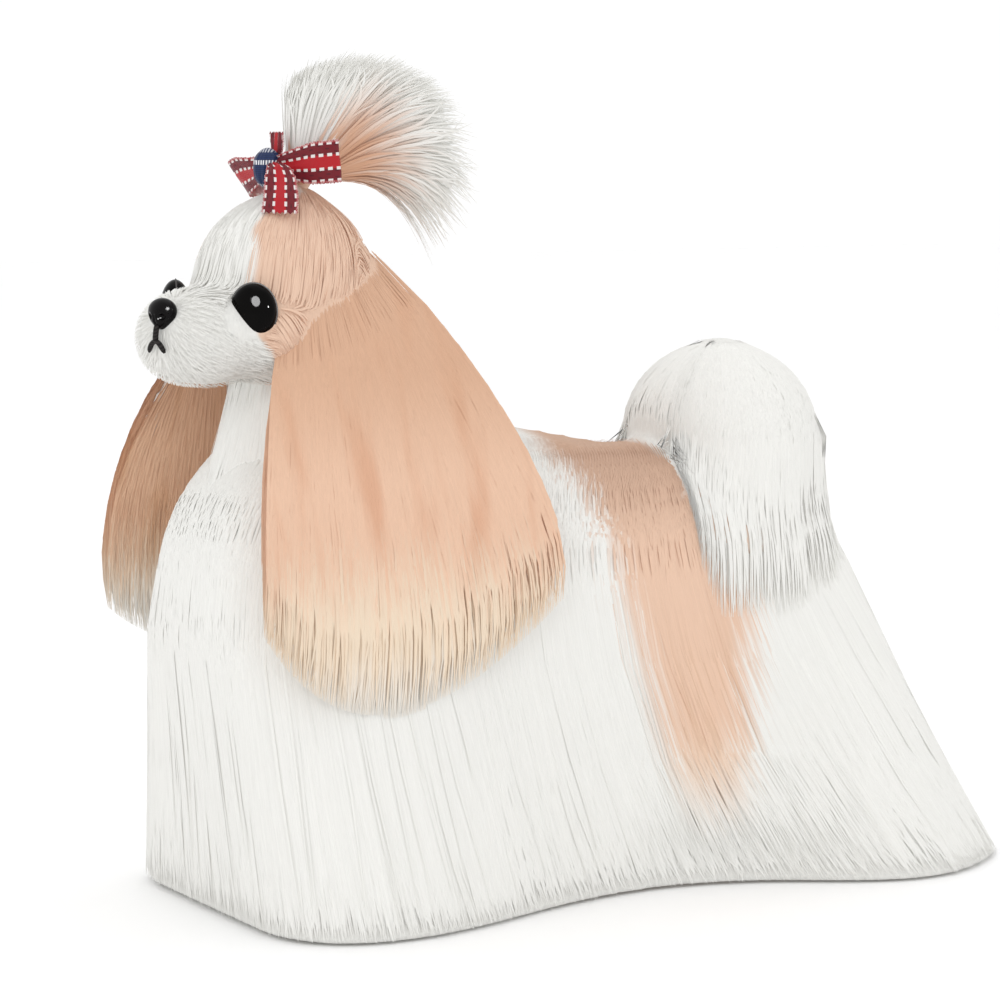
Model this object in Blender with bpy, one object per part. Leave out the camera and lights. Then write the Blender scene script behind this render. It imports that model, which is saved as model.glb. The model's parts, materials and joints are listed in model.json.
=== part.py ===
"""A stuffed show shih tzu with a floor-length coat of long straight pile, as one still figure.

Metres, +Z up. The dog faces -Y and its left side is +X. The origin is on the floor under the
middle of the figure. A station F is a distance forward of the origin, so y = -F.
"""

import math
import random

import bmesh
import bpy
import numpy as np
from mathutils import Matrix

GAP = 0.0004  # left between neighbouring nodes
RANDOM = random.Random(7)
LOCK_SEEDS = {
    "chest": 93,
    "torso": 6,
    "rump": 29,
    "ear_left": 3,
    "ear_right": 1,
    "topknot": 1,
    "tail": 2,
}

# The coat's outer surface, from the parting along the back down to the hem
BACK_HEIGHT = 0.177
WITHERS_RISE = 0.028
WITHERS_START, WITHERS_END = 0.025, 0.115
COAT_TOP = 0.015
SPLIT_ANGLES = (1.10, 2.30)
# (share of the way down, station) of the front and rear outlines
FRONT_OUTLINE = (
    (0.0, 0.118),
    (0.08, 0.138),
    (0.2, 0.158),
    (0.42, 0.169),
    (0.68, 0.1655),
    (1.0, 0.160),
)
REAR_OUTLINE = (
    (0.0, -0.106),
    (0.12, -0.110),
    (0.3, -0.122),
    (0.55, -0.140),
    (0.8, -0.1625),
    (1.0, -0.188),
)
FLANK_HALF_WIDTH = 0.0434
SHOULDER_STATION, SHOULDER_SPREAD = 0.1275, 0.100
HIP_STATION, HIP_SPREAD = -0.123, 0.0645
SHOULDER_FLARE, HIP_FLARE = 0.049, 0.042
UPPER_FLARE_SHARE = 0.14
CROWN_SHARE = 0.25
ROUND_TOP, SQUARE_HEM = 2.4, 4.6

# The stuffed body under the coat
BELLY_HEIGHT = 0.072
BARREL_SINK = 0.003
BARREL_HALF_WIDTH = 0.035
BARREL_FRONT, BARREL_REAR = 0.128, -0.108
NECK_FOOT, NECK_TOP, NECK_RADIUS = (0.098, 0.145), (0.120, 0.212), 0.024
LEG_STATIONS = {"front": 0.082, "rear": -0.098}
LEG_SIDE, LEG_RADIUS, PAW_REACH = 0.027, 0.0125, 0.010
# Up a leg: height, share of its radius, share of the paw's reach
LEG_RINGS = (
    (0, 0.85, 1),
    (0.003, 1.05, 1),
    (0.009, 1.1, 0.8),
    (0.017, 0.9, 0.2),
    (0.055, 0.85, 0),
    (0.088, 1.1, 0),
)

# The head, in its own axes: forward, left, up from the middle of the skull
SKULL_CENTRE = (0.123, 0.0, 0.242)
HEAD_TURN = math.radians(17)
SKULL_RADIUS = 0.0355
MUZZLE_BALL, MUZZLE_RADIUS = (0.0455, 0.0082, -0.0185), 0.0175
CHEEK_BALL, CHEEK_RADIUS = (0.024, 0.0165, -0.0195), 0.0165
HEAD_BLEND = 0.009
EYE_CENTRE, EYE_RADII = (0.0362, 0.0226, -0.0080), (0.0058, 0.0090, 0.0106)
EYE_TURN = math.radians(38)
NOSE_CENTRE, NOSE_RADII = (0.0615, 0.0, -0.0088), (0.0046, 0.0063, 0.0060)
MOUTH_RADIUS, PHILTRUM_RADIUS, MOUTH_LIFT = 0.0010, 0.00115, 0.0002
PHILTRUM_TOP, LIP_HEIGHT = -0.0125, -0.0198
LIP_REACH, LIP_RISE, LIP_CURVE = 0.0045, 0.0008, 0.0042

# The ears: where their hair is rooted on the head and where it ends, front to back
EAR_ROOTS = ((0.026, 0.024, -0.015), (0.004, 0.034, 0.001), (-0.024, 0.025, 0.015))
EAR_TIPS = {
    "left": ((0.165, 0.074, 0.1157), (0.111, 0.076, 0.0836), (0.031, 0.064, 0.121)),
    "right": ((0.1695, -0.078, 0.111), (0.112, -0.079, 0.094), (0.040, -0.066, 0.125)),
}
EAR_CLEARANCE = 0.0065
EAR_TOP_DEPTH, EAR_DEEP = 0.0019, 0.0053
EAR_CORE_SHARE = 0.34

# The topknot: a plume that leaves the tie upwards and falls back
TIE = (0.117, 0.0, 0.2805)
TIE_RADIUS = 0.0062
# (station, height) of the plume's tips, front to back
PLUME_TIPS = (
    (0.1185, 0.318),
    (0.106, 0.3285),
    (0.081, 0.331),
    (0.058, 0.316),
    (0.0475, 0.281),
    (0.0585, 0.248),
)
PLUME_SPREAD = 0.027

# The tail: a mop of hair that arches over the rump and hangs round it
TAIL_CENTRE = (-0.0735, 0.0, 0.177)
TAIL_RADII = (0.0385, 0.046, 0.0385)
TAIL_STALK = ((-0.090, 0.158), 0.0095)
TAIL_SPLAY = 0.018
# (angle from the front, height of the tips)
TAIL_HANG = (
    (0, 0.183),
    (0.35, 0.180),
    (0.62, 0.128),
    (0.9, 0.108),
    (1.57, 0.107),
    (2.3, 0.118),
    (3.142, 0.140),
)
TAIL_CLEARANCE = 0.0055
TAIL_CORE = 0.95

# The ribbon bow in front of the tie
RIBBON_WIDTH, RIBBON_THICK = 0.0155, 0.0009
KNOT_CENTRE, KNOT_RADII = (0.0085, 0.0, 0.0450), (0.0050, 0.0050, 0.0078)
BOW_SWEEP = 20
LOOP_DEPTH = 0.0042
# (side, sign, reach, rise towards the fold, forward lean of the width)
BOW_LOOPS = (("left", 1, 0.031, 0.003, 0.1), ("right", -1, 0.027, -0.005, 0.7))
# Places along the tails: out from the knot, ahead of it, up, and the width there
HANGING_TAIL = (
    (0.0045, 0.0048, 0.0015, 0.005),
    (0.0085, 0.0072, 0.0010, 0.010),
    (0.0108, 0.0098, -0.0040, 0.014),
    (0.0122, 0.0124, -0.0100, 0.0155),
    (0.0130, 0.0148, -0.0162, 0.0155),
)
STANDING_TAIL = (
    (0.0005, -0.0040, 0.0048, 0.005),
    (0.0020, -0.0045, 0.0075, 0.009),
    (0.0028, -0.0048, 0.0105, 0.011),
    (0.0032, -0.0050, 0.0130, 0.011),
)

# The locks: how many hang to the tips and how many end half way, in each half of a node
COAT_LOCKS = {"chest": (4, 3), "torso": (6, 4), "rump": (4, 3)}
# Where the coat's long and short locks start, and between which places they end
LONG_REACH, SHORT_REACH = (0.012, 0.965, 0.990), (0.14, 0.42, 0.66)
# How a lock's root goes into the body: its share of the way out, its depth and its draw to the middle
ROOT_IN, ROOT_SINK, END_GATHER = (0.2, 0.5), (0.010, 0.016), 0.86
TAIL_GUIDES, TAIL_PLACES, TAIL_TOP = 17, 9, 0.06
TAIL_NOTCH, TAIL_UNEVEN, RIDGE_SHARE = 0.13, 0.05, 0.03
MOP_INSET = (0.91, 0.91, 0.96)
EAR_LOCKS, EAR_LONG, EAR_SHORT = (6, 3), (0.03, 0.94, 1.0), (0.15, 0.5, 0.75)
TOPKNOT_LOCKS, PLUME_LONG, PLUME_SHORT = (8, 0), (0.12, 0.9, 1.0), (0.3, 0.6, 0.8)
LOCK_OVERLAP = 0.66  # half a lock's width, over the space it has
LOCK_RINGS = (0.0, 0.16, 0.42, 0.78, 1.0)
LOCK_TAPER = 0.22  # the share of its length over which a lock narrows to its tip
LOCK_TIP, LOCK_ROOT = 0.22, 0.35
LOCK_SWAY, LOCK_WAVE = 0.22, 4.5
LOCK_MARGIN = (0.001, 0.006)  # kept from the ends of its section, so that neighbours' edges don't coincide
UNDER_DEPTH, OVER_DEPTH = 0.0016, 0.0
NEAR_EDGE, FAR_EDGE = 0.0034, 0.0018  # how far a lock's edges lie under its ridge
SPLIT_MARGIN = 0.006


def at(forward, left, up):
    """A point from its station, its distance to the dog's left and its height."""
    return np.array([left, -forward, up], float)


def from_head(point):
    """A point of the head's own axes, in the figure's."""
    forward, left, up = point
    cos_turn, sin_turn = math.cos(HEAD_TURN), math.sin(HEAD_TURN)
    return at(
        SKULL_CENTRE[0] + forward * cos_turn - left * sin_turn,
        SKULL_CENTRE[1] + forward * sin_turn + left * cos_turn,
        SKULL_CENTRE[2] + up,
    )


def to_head(points):
    """Points of the figure's axes, in the head's own."""
    forward = -points[:, 1] - SKULL_CENTRE[0]
    left = points[:, 0] - SKULL_CENTRE[1]
    cos_turn, sin_turn = math.cos(HEAD_TURN), math.sin(HEAD_TURN)
    return np.stack(
        [
            forward * cos_turn + left * sin_turn,
            left * cos_turn - forward * sin_turn,
            points[:, 2] - SKULL_CENTRE[2],
        ],
        1,
    )


def unit(vectors):
    return vectors / np.maximum(np.linalg.norm(vectors, axis=-1, keepdims=True), 1e-12)


def smooth_step(value):
    value = np.clip(value, 0, 1)
    return value * value * (3 - 2 * value)


def bump(value):
    return np.exp(-value * value)


def through(outline, share):
    """A smooth curve through an outline's (share, value) pairs."""
    shares, values = np.array(outline, float).T
    slopes = np.gradient(values, shares)
    k = np.clip(np.searchsorted(shares, share, side="right") - 1, 0, len(shares) - 2)
    width = shares[k + 1] - shares[k]
    t = (share - shares[k]) / width
    a = (1 + 2 * t) * (1 - t) ** 2 * values[k] + t * (1 - t) ** 2 * width * slopes[k]
    b = t * t * (3 - 2 * t) * values[k + 1] - t * t * (1 - t) * width * slopes[k + 1]
    return a + b


def arc_through(points, share):
    """The parabola through three points, at shares from 0 to 1 of the way."""
    first, middle, last = (np.array(p, float) for p in points)
    t = np.asarray(share, float)[..., None]
    return first * (1 - t) * (1 - 2 * t) + middle * 4 * t * (1 - t) + last * t * (2 * t - 1)


def parting_height(station):
    rise = smooth_step((station - WITHERS_START) / (WITHERS_END - WITHERS_START))
    return BACK_HEIGHT + WITHERS_RISE * rise


def coat_half_width(station, down):
    """Half the coat's width beside a station, before its ends are rounded off."""
    flare = SHOULDER_FLARE * bump((station - SHOULDER_STATION) / SHOULDER_SPREAD)
    flare = flare + HIP_FLARE * bump((station - HIP_STATION) / HIP_SPREAD)
    share = UPPER_FLARE_SHARE + (1 - UPPER_FLARE_SHARE) * down**1.25
    crown = np.sqrt(np.maximum(1 - (1 - np.clip(down / CROWN_SHARE, 0, 1)) ** 2, 0))
    return crown * (FLANK_HALF_WIDTH + flare * share)


def coat_ends(down):
    """(middle station, half length, exponent of the outline) of the coat's outline at a level."""
    front, rear = through(FRONT_OUTLINE, down), through(REAR_OUTLINE, down)
    return (front + rear) / 2, (front - rear) / 2, ROUND_TOP + SQUARE_HEM * down


def coat(angle, down):
    """The coat's outer surface. Angle 0 is the middle of the chest and pi/2 the left flank;
    down goes from 0 at the parting to 1 at the hem."""
    angle, down = np.broadcast_arrays(np.asarray(angle, float), np.asarray(down, float))
    middle, half, power = coat_ends(down)
    along, aside = np.cos(angle), np.sin(angle)
    reach = (np.abs(along) ** power + np.abs(aside) ** power) ** (-1 / power)
    station = middle + half * along * reach
    left = coat_half_width(station, down) * aside * reach
    return np.stack([left, -station, parting_height(station) * (1 - down)], -1)


def coat_side(station, height):
    """How far the coat reaches to each side at a station and a height."""
    down = np.clip(1 - height / parting_height(station), 0, 1)
    middle, half, power = coat_ends(down)
    along = np.clip(np.abs((station - middle) / half), 0, 1)
    return coat_half_width(station, down) * (1 - along**power) ** (1 / power)


def coat_rear(height):
    """The station of the coat's rearmost point at a height."""
    share = np.clip(1 - height / BACK_HEIGHT, 0, 1)
    return np.interp(share, *zip(*REAR_OUTLINE))


def surface_frame(surface, u, v, step=2e-3):
    """(point, way across, outward normal) of a surface, from its differences."""
    point = surface(u, v)
    low, high = np.clip(v - step, 0, 1), np.clip(v + step, 0, 1)
    across = unit(surface(u + step, v) - surface(u - step, v))
    along = unit(surface(u, high) - surface(u, low))
    return point, across, unit(np.cross(along, across))


def mesh_object(name, points, faces):
    mesh = bpy.data.meshes.new(name)
    mesh.from_pydata([tuple(p) for p in points], [], [tuple(f) for f in faces])
    work = bmesh.new()
    work.from_mesh(mesh)
    bmesh.ops.recalc_face_normals(work, faces=work.faces)
    bmesh.ops.triangulate(work, faces=work.faces)
    work.to_mesh(mesh)
    work.free()
    item = bpy.data.objects.new(name, mesh)
    bpy.context.scene.collection.objects.link(item)
    return item


def loft(name, rings):
    """A closed solid through rings of points, capped at both ends."""
    count, around = len(rings), len(rings[0])
    faces = [tuple(range(around)), tuple(range((count - 1) * around, count * around))]
    for i in range(count - 1):
        for j in range(around):
            k = (j + 1) % around
            faces.append((i * around + j, i * around + k, (i + 1) * around + k, (i + 1) * around + j))
    return mesh_object(name, np.concatenate(rings), faces)


def ball(name, centre, radii, axes=np.eye(3), detail=3):
    work = bmesh.new()
    bmesh.ops.create_icosphere(work, subdivisions=detail, radius=1.0)
    points = np.array([v.co for v in work.verts])
    faces = [[v.index for v in f.verts] for f in work.faces]
    work.free()
    return mesh_object(name, (points * np.array(radii)) @ axes + np.array(centre), faces)


def box(name, low, high):
    corners = [[x, y, z] for x in (low[0], high[0]) for y in (low[1], high[1]) for z in (low[2], high[2])]
    faces = [(0, 1, 3, 2), (4, 6, 7, 5), (0, 4, 5, 1), (2, 3, 7, 6), (0, 2, 6, 4), (1, 5, 7, 3)]
    return mesh_object(name, corners, faces)


def wall(name, outer, inner):
    """A closed sheet between two grids of points, guides by places along them."""
    count, places = outer.shape[:2]
    points = np.concatenate([outer.reshape(-1, 3), inner.reshape(-1, 3)])
    back = count * places

    def corner(i, j, side):
        return i * places + j + side * back

    faces = []
    for i in range(count - 1):
        for j in range(places - 1):
            for side in (0, 1):
                a, b = corner(i, j, side), corner(i + 1, j, side)
                c, d = corner(i + 1, j + 1, side), corner(i, j + 1, side)
                faces += [(a, b, c), (a, c, d)]
    rim = [(i, 0) for i in range(count)] + [(count - 1, j) for j in range(1, places)]
    rim += [(i, places - 1) for i in range(count - 2, -1, -1)] + [(0, j) for j in range(places - 2, 0, -1)]
    for a, b in zip(rim, rim[1:] + rim[:1]):
        faces.append((corner(*a, 0), corner(*b, 0), corner(*b, 1), corner(*a, 1)))
    return mesh_object(name, points, faces)


def twin(item, name):
    """The same node on the other side of the figure."""
    made = bpy.data.objects.new(name, item.data.copy())
    made.data.transform(Matrix.Scale(-1, 4, (1, 0, 0)))
    made.data.flip_normals()
    bpy.context.scene.collection.objects.link(made)


def boolean(target, operation, collection=None, cutter=None):
    modifier = target.modifiers.new(operation, "BOOLEAN")
    modifier.operation = operation
    modifier.solver = "MANIFOLD"
    if collection:
        modifier.operand_type = "COLLECTION"
        modifier.collection = collection
    else:
        modifier.object = cutter
    graph = bpy.context.evaluated_depsgraph_get()
    mesh = bpy.data.meshes.new_from_object(target.evaluated_get(graph))
    target.modifiers.remove(modifier)
    target.data = mesh


def lock(surface, middle, half, reach, depth, sink, flip=1, root_share=1.0):
    """A flat lock that follows a surface's guides, with its ridge on the surface and its edges under it.
    The sink, where there is one, moves a first ring into what the lock grows from."""
    phase, tilt = RANDOM.uniform(0, 2 * math.pi), RANDOM.choice((NEAR_EDGE, FAR_EDGE))
    margin = RANDOM.uniform(*LOCK_MARGIN)
    share = np.array(LOCK_RINGS)
    v = reach[0] + (reach[1] - reach[0]) * share
    tip = LOCK_TIP + (1 - LOCK_TIP) * (1 - share) / LOCK_TAPER
    width = half * np.minimum(np.minimum(0.8 + share, 1), tip)
    spine = middle + half * LOCK_SWAY * np.sin(phase + LOCK_WAVE * share) * share
    thick = np.minimum(np.minimum(1, 0.3 + tip), root_share + share / LOCK_RINGS[1])
    rings = []
    for side, under in ((-1, tilt), (0, 0), (1, NEAR_EDGE + FAR_EDGE - tilt)):
        u = np.clip(spine + side * width, margin, 1 - margin)
        point, _, normal = surface_frame(surface, u, v)
        rings.append(point - flip * normal * ((depth + under) * thick)[:, None])
    rings = np.stack(rings, 1)
    if sink:
        rings = np.concatenate([sink(rings[:1]), rings])
    return loft("lock", list(rings))


def locks(surface, counts, long_reach, short_reach, sink, flip=1, root_share=1.0):
    """The two layers of locks of one node: those that hang to the tips, and shorter ones over them."""
    made = []
    layers = ((counts[0], long_reach, UNDER_DEPTH, sink), (counts[1], short_reach, OVER_DEPTH, None))
    for count, (start, low, high), depth, root in layers:
        for i in range(count):
            reach = (start, RANDOM.uniform(low, high))
            half = LOCK_OVERLAP / count * RANDOM.uniform(0.9, 1.1)
            made.append(lock(surface, (i + 0.5) / count, half, reach, depth, root, flip, root_share))
    return made


def largest_surface(item):
    """Drops every closed surface of a mesh but the largest."""
    work = bmesh.new()
    work.from_mesh(item.data)
    loose, shells = set(work.faces), []
    while loose:
        front = [loose.pop()]
        shell = list(front)
        while front:
            near = {f for e in front.pop().edges for f in e.link_faces} & loose
            loose -= near
            front += near
            shell += near
        shells.append(shell)
    shells.sort(key=lambda shell: sum(f.calc_area() for f in shell))
    bmesh.ops.delete(work, geom=[f for shell in shells[:-1] for f in shell], context="FACES")
    work.to_mesh(item.data)
    work.free()


def node(name, pieces, cutters=(), finish=None):
    """Joins pieces into one closed solid, cuts it clear of its neighbours and names it."""
    target, rest = pieces[0], pieces[1:]
    if rest:
        group = bpy.data.collections.new(name)
        bpy.context.scene.collection.children.link(group)
        for piece in rest:
            bpy.context.scene.collection.objects.unlink(piece)
            group.objects.link(piece)
        boolean(target, "UNION", collection=group)
        for piece in rest:
            bpy.data.objects.remove(piece)
        bpy.data.collections.remove(group)
    for cutter in cutters:
        boolean(target, "DIFFERENCE", cutter=cutter)
    largest_surface(target)
    target.name = target.data.name = name
    target.data.materials.clear()
    target.data.materials.append(finish)
    target.data.shade_smooth()
    target.data.set_sharp_from_angle(angle=math.radians(40))
    return target


def material(name, colour, roughness):
    made = bpy.data.materials.new(name)
    made.use_nodes = True
    shader = made.node_tree.nodes["Principled BSDF"]
    shader.inputs["Base Color"].default_value = (*colour, 1)
    shader.inputs["Roughness"].default_value = roughness
    return made


def head_distance(points):
    """Distance outside the head's surface, with its balls blended into one form."""
    own = to_head(points)
    balls = [((0, 0, 0), SKULL_RADIUS)]
    for centre, radius in ((MUZZLE_BALL, MUZZLE_RADIUS), (CHEEK_BALL, CHEEK_RADIUS)):
        balls += [(centre, radius), ((centre[0], -centre[1], centre[2]), radius)]
    total = sum(np.exp(-(np.linalg.norm(own - c, axis=1) - r) / HEAD_BLEND * 2.2) for c, r in balls)
    return -np.log(total) * HEAD_BLEND / 2.2


def head_form(name, offset=0.0, detail=4):
    """The head's surface, found along rays from inside it."""
    work = bmesh.new()
    bmesh.ops.create_icosphere(work, subdivisions=detail, radius=1.0)
    rays = np.array([v.co for v in work.verts])
    faces = [[v.index for v in f.verts] for f in work.faces]
    work.free()
    centre = from_head((0.014, 0, -0.007))
    reach = np.full(len(rays), 0.11)
    for _ in range(120):
        reach -= 0.7 * (head_distance(centre + rays * reach[:, None]) - offset)
    return mesh_object(name, centre + rays * reach[:, None], faces)


def make_head(finishes):
    """The plush head with its eyes, nose and stitched mouth."""
    node("head", [head_form("head_form")], finish=finishes["white_pile"])
    cutter = head_form("head_cutter", GAP)
    turn = np.array([from_head(v) - from_head((0, 0, 0)) for v in np.eye(3)])
    for side, sign in (("left", 1), ("right", -1)):
        centre = from_head((EYE_CENTRE[0], sign * EYE_CENTRE[1], EYE_CENTRE[2]))
        cos_eye, sin_eye = math.cos(EYE_TURN), sign * math.sin(EYE_TURN)
        own = np.array([[cos_eye, sin_eye, 0], [-sin_eye, cos_eye, 0], [0, 0, 1]])
        node(f"eye_{side}", [ball("eye", centre, EYE_RADII, own @ turn)], [cutter], finishes["black_gloss"])
    centre = from_head(NOSE_CENTRE)
    node("nose", [ball("nose_form", centre, NOSE_RADII, turn)], [cutter], finishes["black_gloss"])
    nose_cutter = ball("nose_cutter", centre, np.array(NOSE_RADII) + GAP, turn)
    make_mouth([cutter, nose_cutter], finishes["black_gloss"])
    bpy.data.objects.remove(nose_cutter)
    return cutter


def tube(name, path, radius, around=6):
    """A round bar along a path."""
    path = np.array(path, float)
    along = unit(np.gradient(path, axis=0))
    side = unit(np.cross(along, (0.3, 0.9, 0.1)))
    up = np.cross(along, side)
    turns = np.arange(around) * 2 * math.pi / around
    circle = np.cos(turns)[:, None] * side[:, None] + np.sin(turns)[:, None] * up[:, None]
    return loft(name, list(path[:, None] + radius * circle))


def on_head(left, up, lift):
    """The point above the head's surface, pushed in from the front along the head's own axis."""
    reach = 0.09
    for _ in range(80):
        reach -= 0.8 * (head_distance(np.array([from_head((reach, left, up))]))[0] - lift)
    return from_head((reach, left, up))


def make_mouth(cutters, finish):
    """The line from the nose down to the lip and the two short lips."""
    line = [on_head(0, up, MOUTH_LIFT) for up in np.linspace(PHILTRUM_TOP, LIP_HEIGHT, 5)]
    pieces = [tube("philtrum", line, PHILTRUM_RADIUS)]
    for sign in (1, -1):
        lips = []
        for share in np.linspace(-0.12, 1, 5):
            drop = LIP_RISE - LIP_CURVE * share * share
            lips.append(on_head(sign * share * LIP_REACH, LIP_HEIGHT + drop, MOUTH_LIFT))
        pieces.append(tube("lip", lips, MOUTH_RADIUS))
    node("mouth", pieces, cutters, finish)


def barrel_rings(offset, rings=15, around=16):
    """Rings of the stuffed body, from the rump to the chest."""
    turns = np.arange(around) * 2 * math.pi / around
    made = []
    for share in np.sin(np.linspace(-0.46, 0.46, rings) * math.pi):
        station = (BARREL_FRONT + BARREL_REAR) / 2 + share * ((BARREL_FRONT - BARREL_REAR) / 2 + offset)
        size = math.sqrt(max(1 - share * share, 0.004)) ** 0.8
        top, bottom = parting_height(station) - BARREL_SINK, BELLY_HEIGHT
        high = (top - bottom) / 2 * size + offset
        wide = BARREL_HALF_WIDTH * size + offset
        centre = (top + bottom) / 2
        made.append(np.array([at(station, wide * math.cos(t), centre + high * math.sin(t)) for t in turns]))
    return made


def make_body(finishes, head_cutter, stalk, coat_cutter):
    """The neck, and the chest, torso and rump in halves, each with its share of the coat."""
    far = 0.5
    front, rear = (coat(angle, COAT_TOP)[1] for angle in SPLIT_ANGLES)
    cuts = {
        "behind_chest": box("cut", (-far, front - GAP / 2, -far), (far, far, far)),
        "before_torso": box("cut", (-far, -far, -far), (far, front + GAP / 2, far)),
        "behind_torso": box("cut", (-far, rear - GAP / 2, -far), (far, far, far)),
        "before_rump": box("cut", (-far, -far, -far), (far, rear + GAP / 2, far)),
        "right": box("cut", (-GAP / 2, -far, -far), (far, far, far)),
    }
    sections = (
        ("chest", (0, SPLIT_ANGLES[0]), ("behind_chest",)),
        ("torso", SPLIT_ANGLES, ("before_torso", "behind_torso")),
        ("rump", (SPLIT_ANGLES[1], math.pi), ("before_rump",)),
    )
    for name, (start, end), blocks in sections:
        core = loft("barrel", barrel_rings(0))
        node("core", [core], [cuts[block] for block in blocks], finishes["white_pile"])
        start += SPLIT_MARGIN * (start > 0)
        end -= SPLIT_MARGIN * (end < math.pi)
        RANDOM.seed(LOCK_SEEDS[name])
        hair = coat_locks(name, -end, -start)
        node(f"{name}_right", [core] + hair, [cuts["right"], stalk], finishes["white_pile"])
        twin(core, f"{name}_left")
    for cutter in cuts.values():
        bpy.data.objects.remove(cutter)
    stump = []
    for share in np.linspace(0, 1, 5):
        station, height = (a + (b - a) * share for a, b in zip(NECK_FOOT, NECK_TOP))
        stump.append(round_ring(station, height, NECK_RADIUS * (1.25 - 0.25 * share)))
    node("neck", [loft("stump", stump)], [coat_cutter, head_cutter], finishes["white_pile"])


def round_ring(station, height, radius, around=12):
    turns = np.arange(around) * 2 * math.pi / around
    return np.array([at(station + radius * math.cos(t), radius * math.sin(t), height) for t in turns])


def even(surface, start, end, level):
    """The surface with its first argument made a share of the run between two angles at that level."""
    angles = np.linspace(start, end, 90)
    steps = np.linalg.norm(np.diff(surface(angles, level), axis=0), axis=1)
    run = np.concatenate([[0], np.cumsum(steps)])
    return lambda u, v: surface(np.interp(u, run / run[-1], angles), v)


def coat_locks(place, start, end):
    """The locks of one half of a section of the coat, rooted in the body along the parting."""

    seam = coat(start if place == "chest" else end, COAT_TOP)[1]

    def sink(ring):
        gather = 1 if place == "torso" else END_GATHER
        ring = ring * (RANDOM.uniform(*ROOT_IN), gather, 1) - (0, 0, RANDOM.uniform(*ROOT_SINK))
        return ring + (0, seam * (1 - gather), 0)

    section = even(coat, start, end, 0.7)
    root_share = 1.0 if place == "torso" else LOCK_ROOT
    return locks(section, COAT_LOCKS[place], LONG_REACH, SHORT_REACH, sink, 1, root_share)


def coat_solid(name, offset):
    """Everything inside the coat's outer surface moved out by the offset."""
    angles = np.linspace(0, 2 * math.pi, 72, endpoint=False)
    down = np.concatenate([[0.002, 0.01], np.linspace(0.03, 0.3, 10), np.linspace(0.36, 1, 8)])
    around, level = np.meshgrid(angles, down, indexing="ij")
    point, _, normal = surface_frame(coat, around, level)
    point = point + normal * offset
    return loft(name, [point[:, j] for j in range(len(down))])


def tail_stalk(name, offset):
    """The stuffed root of the tail, standing out of the rump."""
    (station, foot), radius = TAIL_STALK
    rings = []
    for share in (0.0, 0.5, 1.0):
        middle = station + (TAIL_CENTRE[0] - station) * share
        height = foot + (TAIL_CENTRE[2] - foot) * share - (offset if share == 0 else 0)
        rings.append(round_ring(middle, height, radius + offset))
    return loft(name, rings)


def leg_ring(station, side, height, size, reach):
    """A level ring of a leg, drawn out to the front by the paw's reach."""
    turns = np.arange(14) * 2 * math.pi / 14
    ring = []
    for turn in turns:
        forward = station + size * math.cos(turn) + reach * max(math.cos(turn), 0)
        ring.append(at(forward, side + size * math.sin(turn), height))
    return np.array(ring)


def make_legs(finish):
    """Four stuffed legs under the coat, on flat soles."""
    body = loft("body_cutter", barrel_rings(GAP))
    for place, station in LEG_STATIONS.items():
        for side, sign in (("left", 1), ("right", -1)):
            rings = []
            for height, radius, reach in LEG_RINGS:
                ring = leg_ring(station, sign * LEG_SIDE, height, LEG_RADIUS * radius, PAW_REACH * reach)
                rings.append(ring)
            node(f"leg_{place}_{side}", [loft("leg", rings)], [body], finish)
    bpy.data.objects.remove(body)


def ear(side):
    """The surface of one ear's hair: u from its front edge to its back edge, v from root to tip."""
    sign = 1 if side == "left" else -1
    roots = [from_head((f, sign * l, z)) for f, l, z in EAR_ROOTS]
    tips = [at(*tip) for tip in EAR_TIPS[side]]

    def surface(u, v):
        u, v = np.broadcast_arrays(np.asarray(u, float), np.asarray(v, float))
        root, tip = arc_through(roots, u), arc_through(tips, u)
        fan = (1 - (1 - v) ** (2.3 - 0.6 * u))[..., None]
        point = root + (tip - root) * np.concatenate([fan, fan, v[..., None]], -1)
        least = coat_side(-point[..., 1], point[..., 2]) + EAR_CLEARANCE
        least = least * smooth_step(v / 0.25)
        side_way = point[..., 0] * sign
        point[..., 0] = sign * np.maximum(side_way, least)
        return point

    return surface


def make_ears(finish, head_cutter):
    """Each ear's leather, from its root a third of the way down, and the locks that hang from it."""
    for side, flip in (("left", 1), ("right", -1)):
        RANDOM.seed(LOCK_SEEDS[f"ear_{side}"])
        surface = ear(side)
        u, v = np.meshgrid(np.linspace(0, 1, 8), np.linspace(0.004, EAR_CORE_SHARE, 4), indexing="ij")
        point, _, normal = surface_frame(surface, u, v)
        normal = normal * flip
        leather = wall("leather", point - normal * EAR_TOP_DEPTH, point - normal * EAR_DEEP)
        hair = locks(surface, EAR_LOCKS, EAR_LONG, EAR_SHORT, None, flip)
        node(f"ear_{side}", [leather] + hair, [head_cutter], finish)


def plume(u, spread, v):
    """The topknot's hair: u from its front to its back, spread from side to side, v along it."""
    u, spread, v = np.broadcast_arrays(*(np.asarray(x, float) for x in (u, spread, v)))
    tips = np.array([(i / (len(PLUME_TIPS) - 1), *t) for i, t in enumerate(PLUME_TIPS)])
    tip_station, tip_height = (through(tips[:, (0, k)], u) for k in (1, 2))
    lift = np.radians(95 - 85 * u)
    behind = TIE_RADIUS * (u - 0.5) * 1.2
    start = np.stack([TIE[1] + spread * TIE_RADIUS, behind - TIE[0], TIE[2] + 0 * u], -1)
    first = start + np.stack([spread * 0.010, -np.cos(lift) * -0.024, np.sin(lift) * 0.024], -1)
    end = np.stack([TIE[1] + spread * PLUME_SPREAD, -tip_station, tip_height - 0.006 * spread**2], -1)
    second = (first + end) / 2 + np.stack([spread * 0.004, 0 * u, 0.012 * (0.3 + u)], -1)
    t = v[..., None]
    return start * (1 - t) ** 3 + 3 * first * t * (1 - t) ** 2 + 3 * second * t * t * (1 - t) + end * t**3


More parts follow.
